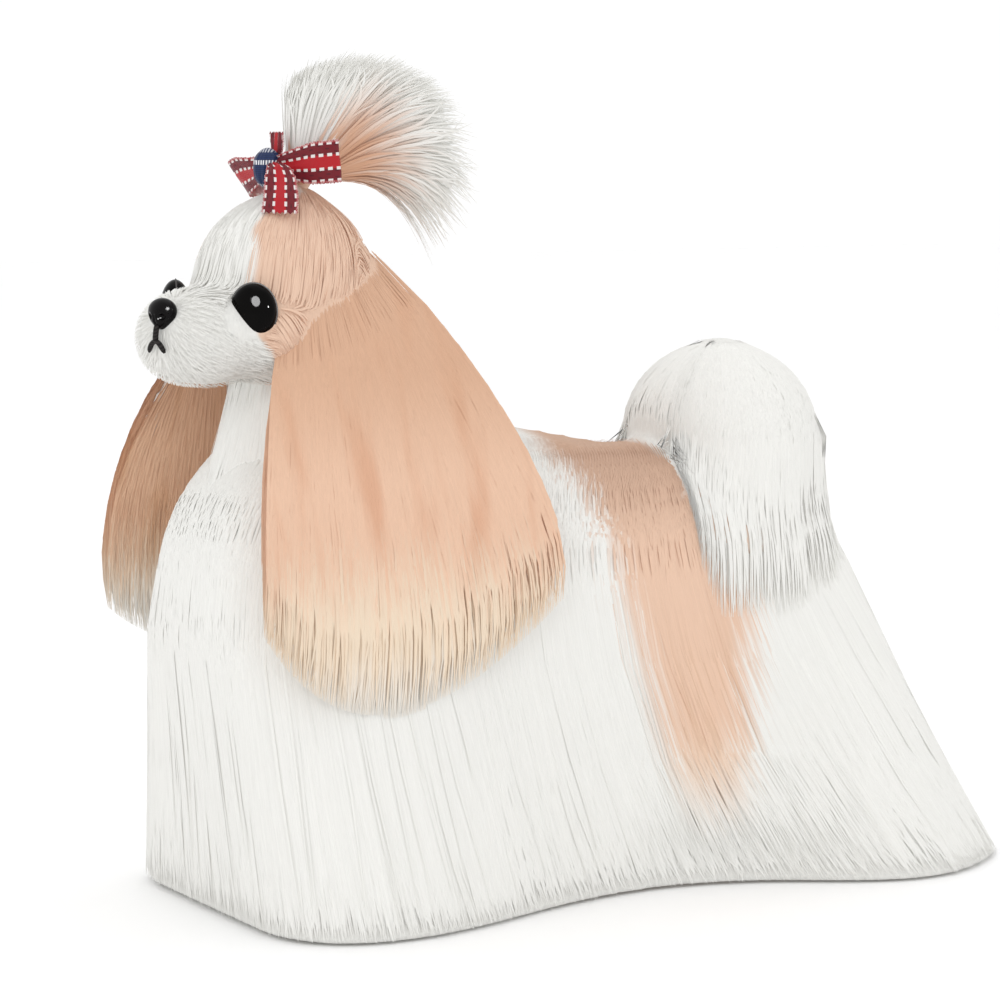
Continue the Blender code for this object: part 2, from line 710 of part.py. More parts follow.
def make_topknot(finish, head_cutter):
    """The bundle above the tie and the locks that fan out of it."""

    def shell(turn, v):
        return plume(0.5 + 0.5 * np.cos(turn), np.sin(turn), v)

    turns = np.linspace(0, 2 * math.pi, 14, endpoint=False)
    rings = [shell(turns, v) for v in np.linspace(0, 0.4, 4)]
    rings.insert(0, rings[0] - (0, 0, 0.008))
    bundle = loft("bundle", rings)
    RANDOM.seed(LOCK_SEEDS["topknot"])
    around = even(shell, 0, 2 * math.pi, 0.8)
    hair = locks(around, TOPKNOT_LOCKS, PLUME_LONG, PLUME_SHORT, None)
    node("topknot", [bundle] + hair, [head_cutter], finish)


def tail(angle, v):
    """The tail's hair: angle 0 towards the head, pi/2 to the left; v from the crown to the tip.
    It domes over the tail's root, then hangs outside the coat."""
    angle, v = np.broadcast_arrays(np.asarray(angle, float), np.asarray(v, float))
    along, aside = np.cos(angle), np.sin(angle)
    tip = np.interp(np.abs((angle + math.pi) % (2 * math.pi) - math.pi), *zip(*TAIL_HANG))
    hang_length = np.maximum(TAIL_CENTRE[2] - tip, 0)
    dome_length = TAIL_RADII[2] * math.pi / 2
    share = dome_length / (dome_length + hang_length)
    dome = np.clip(v / share, 0, 1) * np.arccos(np.clip((tip - TAIL_CENTRE[2]) / TAIL_RADII[2], 0, 1))
    hang = np.clip((v - share) / np.maximum(1 - share, 1e-6), 0, 1)
    loose = smooth_step(hang * 2.5)
    station = TAIL_CENTRE[0] + TAIL_RADII[0] * np.sin(dome) * along
    station = station + TAIL_SPLAY * np.maximum(along, 0) * loose
    height = TAIL_CENTRE[2] + TAIL_RADII[2] * np.cos(dome) - hang_length * hang
    behind = coat_rear(height) - TAIL_CLEARANCE
    behind = np.where(height < TAIL_CENTRE[2], behind, station)
    station = station + np.minimum(behind - station, 0) * np.clip(-along * 2.5 - 1.5, 0, 1)
    left = TAIL_CENTRE[1] + TAIL_RADII[1] * np.sin(dome) * aside
    side = np.where(aside < 0, -1.0, 1.0)
    least = coat_side(station, height) + TAIL_CLEARANCE
    left = left + side * np.maximum(least - left * side, 0) * np.clip(np.abs(aside) * 4 - 0.6, 0, 1)
    return np.stack([left, -station, height], -1)


def make_tail(finish, coat_cutter):
    """The stuffed root of the tail in halves, each with its half of the mop. Every second guide of
    the mop is the ridge of a lock and the ones between lie deeper and end sooner."""
    far = 0.5
    middle = at(*TAIL_CENTRE)
    RANDOM.seed(LOCK_SEEDS["tail"])
    angles = np.linspace(-math.pi, 0, TAIL_GUIDES)
    between = np.arange(TAIL_GUIDES) % 2
    ends = 1 - between * TAIL_NOTCH - np.array([RANDOM.uniform(0, TAIL_UNEVEN) for _ in angles])
    places = np.linspace(0, 1, TAIL_PLACES)
    v = TAIL_TOP + (ends[:, None] - TAIL_TOP) * places
    around = np.broadcast_to(angles[:, None], v.shape)
    shrink = 1 - between[:, None] * RIDGE_SHARE * (0.3 + 0.7 * places)
    outer = middle + (tail(around, v) - middle) * np.stack([shrink, shrink, np.ones(v.shape)], -1)
    mop = wall("mop", outer, middle + (outer - middle) * MOP_INSET)
    other = box("other", (-GAP / 2, -far, -far), (far, far, far))
    crown = ball("crown", middle, np.array(TAIL_RADII)[[1, 0, 2]] * TAIL_CORE, detail=2)
    node("tail_right", [mop, crown, tail_stalk("stalk", 0)], [other, coat_cutter], finish)
    twin(mop, "tail_left")
    bpy.data.objects.remove(other)


def ribbon(name, path, across, widths):
    """A strip of ribbon along a path, as wide at each place as told."""
    path, across = np.array(path, float), unit(np.array(across, float))
    along = unit(np.gradient(path, axis=0))
    flat = unit(np.cross(along, across))
    reach, thick = across * np.array(widths)[:, None] / 2, flat * RIBBON_THICK / 2
    corners = (path + reach + thick, path - reach + thick, path - reach - thick, path + reach - thick)
    return loft(name, list(np.stack(corners, 1)))


def wing(sign, out, ahead, up):
    """A point of the bow's wing on one side: out from the knot, ahead of it and up."""
    sweep = math.radians(BOW_SWEEP)
    forward = KNOT_CENTRE[0] - out * math.sin(sweep) + ahead * math.cos(sweep)
    left = out * math.cos(sweep) + ahead * math.sin(sweep)
    return from_head((forward, sign * left, KNOT_CENTRE[2] + up))


def make_bow(finishes, head_cutter):
    """A knot with a loop on each side, a tail hanging on the left and one standing on the right."""
    knot_cutter = ball("knot_cutter", from_head(KNOT_CENTRE), np.array(KNOT_RADII) + GAP)
    clear, red = [knot_cutter, head_cutter], finishes["red_ribbon"]
    turns = np.linspace(-0.94 * math.pi, 0.94 * math.pi, 15)
    for side, sign, reach, rise, lean in BOW_LOOPS:
        path, across, widths = [], [], []
        for t in turns:
            share = 0.53 + 0.47 * math.cos(t)
            ahead = LOOP_DEPTH * math.sin(t) * (0.35 + 0.65 * share)
            path.append(wing(sign, reach * share, ahead, rise * share))
            across.append(wing(sign, 0, lean * share, 1) - wing(sign, 0, 0, 0))
            widths.append(RIBBON_WIDTH * (0.42 + 0.58 * min(1, 1.5 * share)))
        node(f"bow_loop_{side}", [ribbon("loop", path, across, widths)], clear, red)
    for side, sign, places in (("left", 1, HANGING_TAIL), ("right", -1, STANDING_TAIL)):
        points = [wing(sign, *place[:3]) for place in places]
        across = [wing(sign, 1, 0.1, 0) - wing(sign, 0, 0, 0)] * len(points)
        tail_piece = ribbon("tail", points, across, [place[3] for place in places])
        node(f"bow_tail_{side}", [tail_piece], clear, red)
    bpy.data.objects.remove(knot_cutter)
    node("bow_knot", [ball("knot", from_head(KNOT_CENTRE), KNOT_RADII)], [], finishes["blue_ribbon"])


def main():
    for item in list(bpy.data.objects):
        bpy.data.objects.remove(item)
    finishes = {
        "white_pile": material("white_pile", (0.84, 0.83, 0.79), 0.7),
        "peach_pile": material("peach_pile", (0.78, 0.52, 0.36), 0.7),
        "black_gloss": material("black_gloss", (0.01, 0.01, 0.011), 0.08),
        "red_ribbon": material("red_ribbon", (0.35, 0.02, 0.03), 0.4),
        "blue_ribbon": material("blue_ribbon", (0.02, 0.05, 0.14), 0.4),
    }
    head_cutter = make_head(finishes)
    coat_cutter = coat_solid("coat_cutter", 2 * GAP)
    stalk = tail_stalk("stalk_cutter", GAP)
    make_body(finishes, head_cutter, stalk, coat_cutter)
    make_legs(finishes["white_pile"])
    make_ears(finishes["peach_pile"], head_cutter)
    make_topknot(finishes["white_pile"], head_cutter)
    make_tail(finishes["white_pile"], coat_cutter)
    make_bow(finishes, head_cutter)
    for cutter in (head_cutter, coat_cutter, stalk):
        bpy.data.objects.remove(cutter)


main()
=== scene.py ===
"""A stuffed show shih tzu in a floor-length coat of long straight pile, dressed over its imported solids.

Metres, +Z up. The dog faces -Y and its left side is +X. A station is a distance forward of the origin.
"""

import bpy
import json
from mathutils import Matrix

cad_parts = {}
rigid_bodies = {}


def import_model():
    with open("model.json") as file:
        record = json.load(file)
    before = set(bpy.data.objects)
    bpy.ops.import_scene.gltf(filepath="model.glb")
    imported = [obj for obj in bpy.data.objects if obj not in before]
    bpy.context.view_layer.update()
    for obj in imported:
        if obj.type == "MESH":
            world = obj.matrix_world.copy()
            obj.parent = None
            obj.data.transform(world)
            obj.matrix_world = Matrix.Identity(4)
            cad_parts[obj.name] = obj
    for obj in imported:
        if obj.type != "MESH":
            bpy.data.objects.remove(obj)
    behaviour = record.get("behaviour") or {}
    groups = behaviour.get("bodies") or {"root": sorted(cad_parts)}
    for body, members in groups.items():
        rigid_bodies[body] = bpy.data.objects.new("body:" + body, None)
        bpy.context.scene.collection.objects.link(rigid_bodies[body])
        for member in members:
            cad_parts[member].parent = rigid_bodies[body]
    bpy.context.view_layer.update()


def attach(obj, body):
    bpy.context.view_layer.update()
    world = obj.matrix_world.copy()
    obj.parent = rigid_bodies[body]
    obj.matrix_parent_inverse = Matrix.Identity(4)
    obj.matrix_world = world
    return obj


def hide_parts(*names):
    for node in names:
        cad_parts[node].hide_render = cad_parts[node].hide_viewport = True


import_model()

import json
import math

import bmesh
import bpy
import numpy as np
from bpy.props import FloatProperty, FloatVectorProperty, IntProperty, PointerProperty
from mathutils import Vector

bl_info = {
    "name": "Stuffed show shih tzu",
    "version": (1, 0, 0),
    "blender": (4, 5, 0),
    "location": "View3D > Sidebar > Shih Tzu",
    "description": "Builds the long-haired toy dog, its bow and its studio",
    "category": "Object",
}

# The coat's outer surface, from the parting along the back down to the hem
BACK_HEIGHT = 0.177
WITHERS_RISE = 0.028
WITHERS_START, WITHERS_END = 0.025, 0.115
FRONT_OUTLINE = (
    (0.0, 0.118),
    (0.08, 0.138),
    (0.2, 0.158),
    (0.42, 0.169),
    (0.68, 0.1655),
    (1.0, 0.160),
)
REAR_OUTLINE = (
    (0.0, -0.106),
    (0.12, -0.110),
    (0.3, -0.122),
    (0.55, -0.140),
    (0.8, -0.1625),
    (1.0, -0.188),
)
FLANK_HALF_WIDTH = 0.0434
SHOULDER_STATION, SHOULDER_SPREAD = 0.1275, 0.100
HIP_STATION, HIP_SPREAD = -0.123, 0.0645
SHOULDER_FLARE, HIP_FLARE = 0.049, 0.042
UPPER_FLARE_SHARE = 0.14
CROWN_SHARE = 0.25
ROUND_TOP, SQUARE_HEM = 2.4, 4.6
# The skin: its lowest point, the curtain's thickness, how deep the head and the ears' cores lie
SKIN_FOOT, LINING_THICK, HEAD_SINK, EAR_CORE_DEPTHS = 0.0012, 0.0042, 0.0012, (0.0018, 0.0048)

# The stuffed body under the coat
BELLY_HEIGHT = 0.072
BARREL_SINK = 0.006
BARREL_HALF_WIDTH = 0.033
BARREL_FRONT, BARREL_REAR = 0.126, -0.106
NECK_FOOT, NECK_TOP, NECK_RADIUS = (0.098, 0.145), (0.120, 0.212), 0.022
# The neck's hair at its top and foot: station, reach ahead, height
MANE_TOP, MANE_FOOT = (0.115, 0.027, 0.228), (0.103, 0.057, 0.156)
# Its half width and its throat's drop at the top, its rise at the back and how far it lies off the coat
MANE_HALF_WIDTH, MANE_DROP, MANE_BACK_RISE, MANE_LIFT = 0.029, 0.010, 0.024, 0.0015
LEG_STATIONS = (0.082, -0.098)
LEG_SIDE, LEG_RADIUS, PAW_REACH = 0.027, 0.0125, 0.010
# Up a leg: height, share of its radius, share of the paw's reach
LEG_RINGS = (
    (0, 0.85, 1),
    (0.003, 1.05, 1),
    (0.009, 1.1, 0.8),
    (0.017, 0.9, 0.2),
    (0.055, 0.85, 0),
    (0.088, 1.1, 0),
)

# The head, in its own axes: forward, left, up from the middle of the skull
SKULL_CENTRE = (0.123, 0.0, 0.242)
HEAD_TURN = math.radians(17)
HEAD_COS, HEAD_SIN = math.cos(HEAD_TURN), math.sin(HEAD_TURN)
SKULL_RADIUS = 0.0355
MUZZLE_BALL, MUZZLE_RADIUS = (0.0455, 0.0082, -0.0185), 0.0175
CHEEK_BALL, CHEEK_RADIUS = (0.024, 0.0165, -0.0195), 0.0165
HEAD_BLEND, HEAD_MIDDLE = 0.009, (0.014, 0, -0.007)
EYE_CENTRE, EYE_RADII = (0.0362, 0.0226, -0.0080), (0.0058, 0.0090, 0.0106)
EYE_TURN = math.radians(38)
EYE_EDGE, EYE_EDGE_REACH = (0.573, 0.819), 0.0074
NOSE_CENTRE, NOSE_RADII = (0.0615, 0.0, -0.0088), (0.0046, 0.0063, 0.0060)
LID_RADIUS, LID_SINK, LID_SPREAD = 0.00032, 0.0002, 1.005
MOUTH_RADIUS, PHILTRUM_RADIUS, MOUTH_LIFT = 0.0010, 0.00115, 0.0009
PHILTRUM_TOP, LIP_HEIGHT = -0.0125, -0.0198
LIP_REACH, LIP_RISE, LIP_CURVE = 0.0045, 0.0008, 0.0042

# The ears: where their hair is rooted on the head and where it ends, front to back
EAR_ROOTS = ((0.026, 0.024, -0.015), (0.004, 0.034, 0.001), (-0.024, 0.025, 0.015))
EAR_TIPS = {
    "left": ((0.165, 0.074, 0.1157), (0.111, 0.076, 0.0836), (0.031, 0.064, 0.121)),
    "right": ((0.1695, -0.078, 0.111), (0.112, -0.079, 0.094), (0.040, -0.066, 0.125)),
}
EAR_CLEARANCE = 0.0065
# How soon an ear leaves the head in front, how much later at its back, and where it is clear of the coat
EAR_FAN, EAR_CLEAR_SHARE = (2.3, 0.6), 0.25

# The topknot: a plume that leaves the tie upwards and falls back
TIE = (0.117, 0.0, 0.2805)
TIE_RADIUS = 0.0062
PLUME_TIPS = (
    (0.1185, 0.318),
    (0.106, 0.3285),
    (0.081, 0.331),
    (0.058, 0.316),
    (0.0475, 0.281),
    (0.0585, 0.248),
)
PLUME_SPREAD = 0.027
# Its rise in degrees at its front and back, that rise's run and spread, its arch and the sag of its sides
PLUME_LIFT, PLUME_RISE, PLUME_FLARE, PLUME_ARCH, PLUME_SAG = (95, 10), 0.024, 0.010, 0.012, 0.006

# The tail: a mop of hair that arches over the rump and hangs round it
TAIL_CENTRE = (-0.0735, 0.0, 0.177)
TAIL_RADII = (0.0385, 0.046, 0.0385)
TAIL_STALK = ((-0.090, 0.158), 0.0095)
TAIL_SPLAY = 0.006
TAIL_HANG = (
    (0, 0.176),
    (0.35, 0.171),
    (0.62, 0.128),
    (0.9, 0.108),
    (1.57, 0.107),
    (2.3, 0.118),
    (3.142, 0.140),
)
TAIL_CLEARANCE = 0.0040
TAIL_SPLAY_LENGTH = 0.05  # the hang at which its front strands splay in full
# The core of its skin: how far it lies inside the hair and how hollow it is, then its cap's sink and radii
TAIL_CORE, TAIL_HOLLOW, TAIL_CROWN = (0.96, 0.96, 0.97), (0.91, 0.91, 0.95), 0.965
CROWN_CAP_SINK, CROWN_CAP_RADII = 0.0046, (0.011, 0.011, 0.0052)

# The ribbon bow in front of the tie
RIBBON_WIDTH = 0.0155
KNOT_CENTRE, KNOT_RADII = (0.0085, 0.0, 0.0450), (0.0050, 0.0050, 0.0078)
BOW_SWEEP = 20
LOOP_DEPTH = 0.0042
# The loops: side, its sign, reach out from the knot, rise of the fold, lean of the ribbon's face
LOOPS = (("left", 1, 0.031, 0.003, 0.1), ("right", -1, 0.027, -0.005, 0.7))
# The free ends: side, its sign and places from the knot (out, ahead, up, width there)
ENDS = (
    (
        "left",
        1,
        (
            (0.0045, 0.0048, 0.0015, 0.005),
            (0.0085, 0.0072, 0.0010, 0.010),
            (0.0108, 0.0098, -0.0040, 0.014),
            (0.0122, 0.0124, -0.0100, 0.0155),
            (0.0130, 0.0148, -0.0162, 0.0155),
        ),
    ),
    (
        "right",
        -1,
        (
            (0.0005, -0.0040, 0.0048, 0.005),
            (0.0020, -0.0045, 0.0075, 0.009),
            (0.0028, -0.0048, 0.0105, 0.011),
            (0.0032, -0.0050, 0.0130, 0.011),
        ),
    ),
)
# Step along a ribbon, half its thickness, the notches of its woven edge, and the least flat size
RIBBON_STEP, RIBBON_HALF_THICK, EDGE_NOTCH, LEAST_FLAT = 0.00045, 0.00022, 0.044, 0.0101
BRIGHT_RED, DARK_RED, FIGURE_RED = (0.46, 0.008, 0.016), (0.17, 0.006, 0.014), (0.05, 0.004, 0.010)
DASH_WHITE, EDGE_RED = (0.80, 0.76, 0.74), (0.62, 0.10, 0.10)
LINING_PINK, LINING_DASH = (0.62, 0.34, 0.36), (0.86, 0.80, 0.78)
PICOT_SIZES = {"Step": 0.00105, "Radius": 0.00036}
PICOT_SCALE = (1.0, 0.75, 0.75)

# The renderer stops early where a pixel is this calm, but not under this many samples
RENDER_NOISE, RENDER_LEAST = 0.02, 16

# The nodes whose solids the skin stands for
SKIN_PAIRS = ("chest", "torso", "rump", "leg_front", "leg_rear")
SKIN_NODES = ("head", "neck", *(f"{part}_{side}" for part in SKIN_PAIRS for side in ("left", "right")))

# The pile: the share of its own colour that it glows with, a painted glow that stands for light coming through
# it and lifts the shade between strands; how far a strand's shading turns from its middle to its edges, and
# how strands vary
PILE_GLOW, SHEEN = 0.09, 0.25
# A strand's height as a share of half its width, and the half size of its patch on the unwrap
STRAND_CROWN, PATCH_REACH = 0.28, 0.0015
SMOOTH = {"clump": 0.10, "loose": 0.00013, "wild": 0.012, "lift": 0.0009, "roll": 0.05}
FLUFFY = dict(SMOOTH, clump=0.2, loose=0.0010, wild=0.06, lift=0.003)

# Depth under the surface at a strand's root, the share along where it has come up, depths there and at its tip
COAT_PROFILE = (0.12, 0.0009, 0.0008)
COAT_ROOT_DEPTHS = (0.0008, 0.0030)  # of the long strands and the others
NECK_PROFILE = (0.002, 0.3, 0.0006, 0.0010)
EAR_PROFILES = ((0.0020, 0.15, 0.0006, 0.0062), (0.0042, 0.2, 0.0052, 0.0062))  # outer and inner side
TAIL_PROFILE = (0.15, 0.0008, 0.0044)
TAIL_ROOT_DEPTHS = (0.0005, 0.0030)  # on the crown and below it
PLUME_PROFILE = (0.001, 0.3, 0.0003, 0.0)

NECK_STRANDS, INNER_EAR_SHARE = 1700, 0.16
# The head's fur: its lengths over the forehead, on the lower head and on the muzzle
LONG_FUR, LOWER_FUR, MUZZLE_FUR = 0.024, 0.013, 0.0048
ALL_ROUND, MUZZLE_CAP = 2.0, 0.62  # how far its roots spread round the way to the muzzle
FUR_AIM, GOLDEN_TURN = (0.9, 0.0, -0.42), math.pi * (1 + 5**0.5)

# The coat's layers: share of the strands, where roots begin and end, least run of a strand and its spread
COAT_LAYERS = ((0.46, 0.0, 0.06, 0.90, 0.05), (0.30, 0.02, 0.62, 0.28, 0.28), (0.24, 0.55, 0.90, 0.9, 0.1))
COAT_HIGHEST_TIP, COAT_LOWEST_TIP = 0.955, 0.993
# Its sections: name, first angle, last angle
COAT_SECTIONS = (("chest", 0.0, 1.16), ("torso", 1.04, 2.36), ("rump", 2.24, math.pi))
SECTION_OVERLAP, SECTION_LEVEL, CLUMP_WIDTH = 0.04, 0.7, 0.007

# Colours of the fur's markings, in linear light
SADDLE_TOP, SADDLE_HEM = (0.46, 0.27, 0.175), (0.76, 0.57, 0.42)
# The far (right) ear's deep colour is darker than the near one's, and the far ear's tan is mixed over it:
# painted shade on the far ear.
EAR_DEEP_AND_FAR_SHADE = {"left": (0.66, 0.38, 0.25), "right": (0.56, 0.31, 0.17)}
EAR_ROOT, EAR_CREAM, FAR_EAR_SHADE_TAN = (0.60, 0.36, 0.235), (0.79, 0.65, 0.50), (0.60, 0.34, 0.18)
EAR_WHITE_HEIGHTS = {"left": (0.070, 0.112), "right": (0.098, 0.134)}
PLUME_GOLD = (0.64, 0.38, 0.25)

# The lamps: place, what they face, size, power, shape, and whether they light only the eyes and the nose
MIDDLE, FACE = (0, 0, 0.15), (0.03, -0.16, 0.235)
LAMPS = (
    ("key", (1.5, -1.5, 1.3), MIDDLE, 0.5, 4.0, "SQUARE", False),
    ("top", (0.0, 0.1, 2.0), MIDDLE, 1.6, 3.0, "SQUARE", False),
    ("soft_glint", (1.28, -0.81, 0.88), FACE, 0.8, 130.0, "DISK", True),
    ("rim_glint", (1.40, 0.45, 0.50), FACE, 0.12, 14.0, "DISK", True),
)
WORLD_LIGHT = 1.02
# The camera: turn from the front to the dog's left and rise in degrees, distance, what it faces, lens in mm
VIEW_TURN, VIEW_RISE, VIEW_DISTANCE, VIEW_AIM, VIEW_LENS = 61.9, 5.9, 1.5, (0, -0.029, 0.154), 135


def colour_setting(name, about, value):
    return FloatVectorProperty(name=name, description=about, subtype="COLOR", default=value)


def length_setting(name, about, value):
    return FloatProperty(name=name, description=about, unit="LENGTH", default=value)


def count_setting(name, about, value):
    return IntProperty(name=name, description=about, default=value)


class Finish(bpy.types.PropertyGroup):
    """Colours of the fur, in linear light."""

    white: colour_setting("White", "Coat, face and tail", (0.79, 0.785, 0.755))
    peach: colour_setting("Peach", "Ears and saddle", (0.74, 0.49, 0.35))
    tan: colour_setting("Tan", "Streaks in the saddle", (0.62, 0.38, 0.24))


class Sizes(bpy.types.PropertyGroup):
    """Sizes and counts of the pile."""

    hair_width: length_setting("Hair width", "Width of one strand", 0.0012)
    coat_depth: length_setting("Coat depth", "How far the skin lies under the coat", 0.0020)
    coat_strands: count_setting("Coat strands", "Strands in each half of a section", 2600)
    ear_strands: count_setting("Ear strands", "Strands in each ear", 3900)
    tail_strands: count_setting("Tail strands", "Strands in each half of the tail", 2400)
    plume_strands: count_setting("Topknot strands", "Strands in the topknot", 3600)
    face_strands: count_setting("Face strands", "Strands combed to the tie", 4200)
    muzzle_strands: count_setting("Muzzle strands", "Short strands on the muzzle and cheeks", 5200)
    voxel: length_setting("Voxel", "Size of the skin's remeshing", 0.0022)


def at(forward, left, up):
    """A point from its station, its distance to the dog's left and its height."""
    return np.array([left, -forward, up], float)


def from_head(point):
    """Points of the head's own axes, in the figure's."""
    point = np.asarray(point, float)
    forward, left, up = point[..., 0], point[..., 1], point[..., 2]
    station = SKULL_CENTRE[0] + forward * HEAD_COS - left * HEAD_SIN
    side = SKULL_CENTRE[1] + forward * HEAD_SIN + left * HEAD_COS
    return np.stack([side, -station, SKULL_CENTRE[2] + up], -1)


def head_way(way):
    """Directions of the head's own axes, in the figure's."""
    return from_head(way) - from_head((0, 0, 0))


def to_head(points):
    """Points of the figure's axes, in the head's own."""
    ahead = -points[..., 1] - SKULL_CENTRE[0]
    aside = points[..., 0] - SKULL_CENTRE[1]
    forward, left = ahead * HEAD_COS + aside * HEAD_SIN, aside * HEAD_COS - ahead * HEAD_SIN
    return np.stack([forward, left, points[..., 2] - SKULL_CENTRE[2]], -1)


def eye_frame(sign):
    """(centre, own axes) of an eye, in the head's axes: out of the eye, across it and up."""
    cos_eye, sin_eye = math.cos(EYE_TURN), sign * math.sin(EYE_TURN)
    axes = np.array([[cos_eye, sin_eye, 0], [-sin_eye, cos_eye, 0], [0, 0, 1]])
    return np.array([EYE_CENTRE[0], sign * EYE_CENTRE[1], EYE_CENTRE[2]]), axes


def circle(count):
    """Angles at even steps, once round."""
    return np.arange(count) * 2 * math.pi / count


def unit(vectors):
    return vectors / np.maximum(np.linalg.norm(vectors, axis=-1, keepdims=True), 1e-12)


def smooth_step(value):
    value = np.clip(value, 0, 1)
    return value * value * (3 - 2 * value)


def bump(value):
    return np.exp(-value * value)


def through(outline, share):
    """A smooth curve through an outline's (share, value) pairs."""
    shares, values = np.array(outline, float).T
    slopes = np.gradient(values, shares)
    k = np.clip(np.searchsorted(shares, share, side="right") - 1, 0, len(shares) - 2)
    width = shares[k + 1] - shares[k]
    t = (share - shares[k]) / width
    a = (1 + 2 * t) * (1 - t) ** 2 * values[k] + t * (1 - t) ** 2 * width * slopes[k]
    b = t * t * (3 - 2 * t) * values[k + 1] - t * t * (1 - t) * width * slopes[k + 1]
    return a + b


def arc_through(points, share):
    """The parabola through three points, at shares from 0 to 1 of the way."""
    first, middle, last = (np.array(p, float) for p in points)
    t = np.asarray(share, float)[..., None]
    return first * (1 - t) * (1 - 2 * t) + middle * 4 * t * (1 - t) + last * t * (2 * t - 1)


def parting_height(station):
    rise = smooth_step((station - WITHERS_START) / (WITHERS_END - WITHERS_START))
    return BACK_HEIGHT + WITHERS_RISE * rise


def coat_half_width(station, down):
    """Half the coat's width beside a station, before its ends are rounded off."""
    flare = SHOULDER_FLARE * bump((station - SHOULDER_STATION) / SHOULDER_SPREAD)
    flare = flare + HIP_FLARE * bump((station - HIP_STATION) / HIP_SPREAD)
    share = UPPER_FLARE_SHARE + (1 - UPPER_FLARE_SHARE) * down**1.25
    crown = np.sqrt(np.maximum(1 - (1 - np.clip(down / CROWN_SHARE, 0, 1)) ** 2, 0))
    return crown * (FLANK_HALF_WIDTH + flare * share)


def coat_ends(down):
    """(middle station, half length, exponent of the outline) of the coat's outline at a level."""
    front, rear = through(FRONT_OUTLINE, down), through(REAR_OUTLINE, down)
    return (front + rear) / 2, (front - rear) / 2, ROUND_TOP + SQUARE_HEM * down


def coat(angle, down):
    """The coat's outer surface. Angle 0 is the middle of the chest and pi/2 the left flank;
    down goes from 0 at the parting to 1 at the hem."""
    angle, down = np.broadcast_arrays(np.asarray(angle, float), np.asarray(down, float))
    middle, half, power = coat_ends(down)
    along, aside = np.cos(angle), np.sin(angle)
    reach = (np.abs(along) ** power + np.abs(aside) ** power) ** (-1 / power)
    station = middle + half * along * reach
    left = coat_half_width(station, down) * aside * reach
    return np.stack([left, -station, parting_height(station) * (1 - down)], -1)


def coat_side(station, height):
    """How far the coat reaches to each side at a station and a height."""
    down = np.clip(1 - height / parting_height(station), 0, 1)
    middle, half, power = coat_ends(down)
    along = np.clip(np.abs((station - middle) / half), 0, 1)
    return coat_half_width(station, down) * (1 - along**power) ** (1 / power)


def coat_rear(height):
    """The station of the coat's rearmost point at a height."""
    share = np.clip(1 - height / BACK_HEIGHT, 0, 1)
    return np.interp(share, *zip(*REAR_OUTLINE))


def ear(side):
    """The surface of one ear's hair: u from its front edge to its back edge, v from root to tip."""
    sign = 1 if side == "left" else -1
    roots = [from_head((f, sign * l, z)) for f, l, z in EAR_ROOTS]
    tips = [at(*tip) for tip in EAR_TIPS[side]]

    def surface(u, v):
        u, v = np.broadcast_arrays(np.asarray(u, float), np.asarray(v, float))
        root, tip = arc_through(roots, u), arc_through(tips, u)
        fan = (1 - (1 - v) ** (EAR_FAN[0] - EAR_FAN[1] * u))[..., None]
        point = root + (tip - root) * np.concatenate([fan, fan, v[..., None]], -1)
        least = coat_side(-point[..., 1], point[..., 2]) + EAR_CLEARANCE
        least = least * smooth_step(v / EAR_CLEAR_SHARE)
        point[..., 0] = sign * np.maximum(point[..., 0] * sign, least)
        return point

    return surface


def plume(u, spread, v):
    """The topknot's hair: u from its front to its back, spread from side to side, v along it."""
    u, spread, v = np.broadcast_arrays(*(np.asarray(x, float) for x in (u, spread, v)))
    tips = np.array([(i / (len(PLUME_TIPS) - 1), *t) for i, t in enumerate(PLUME_TIPS)])
    tip_station, tip_height = (through(tips[:, (0, k)], u) for k in (1, 2))
    lift = np.radians(PLUME_LIFT[0] + (PLUME_LIFT[1] - PLUME_LIFT[0]) * u)
    behind = TIE_RADIUS * (u - 0.5) * 1.2
    start = np.stack([TIE[1] + spread * TIE_RADIUS, behind - TIE[0], TIE[2] + 0 * u], -1)
    first = start + np.stack([spread * PLUME_FLARE, PLUME_RISE * np.cos(lift), PLUME_RISE * np.sin(lift)], -1)
    end = np.stack([TIE[1] + spread * PLUME_SPREAD, -tip_station, tip_height - PLUME_SAG * spread**2], -1)
    second = (first + end) / 2 + np.stack([spread * 0.004, 0 * u, PLUME_ARCH * (0.3 + u)], -1)
    t = v[..., None]
    return start * (1 - t) ** 3 + 3 * first * t * (1 - t) ** 2 + 3 * second * t * t * (1 - t) + end * t**3


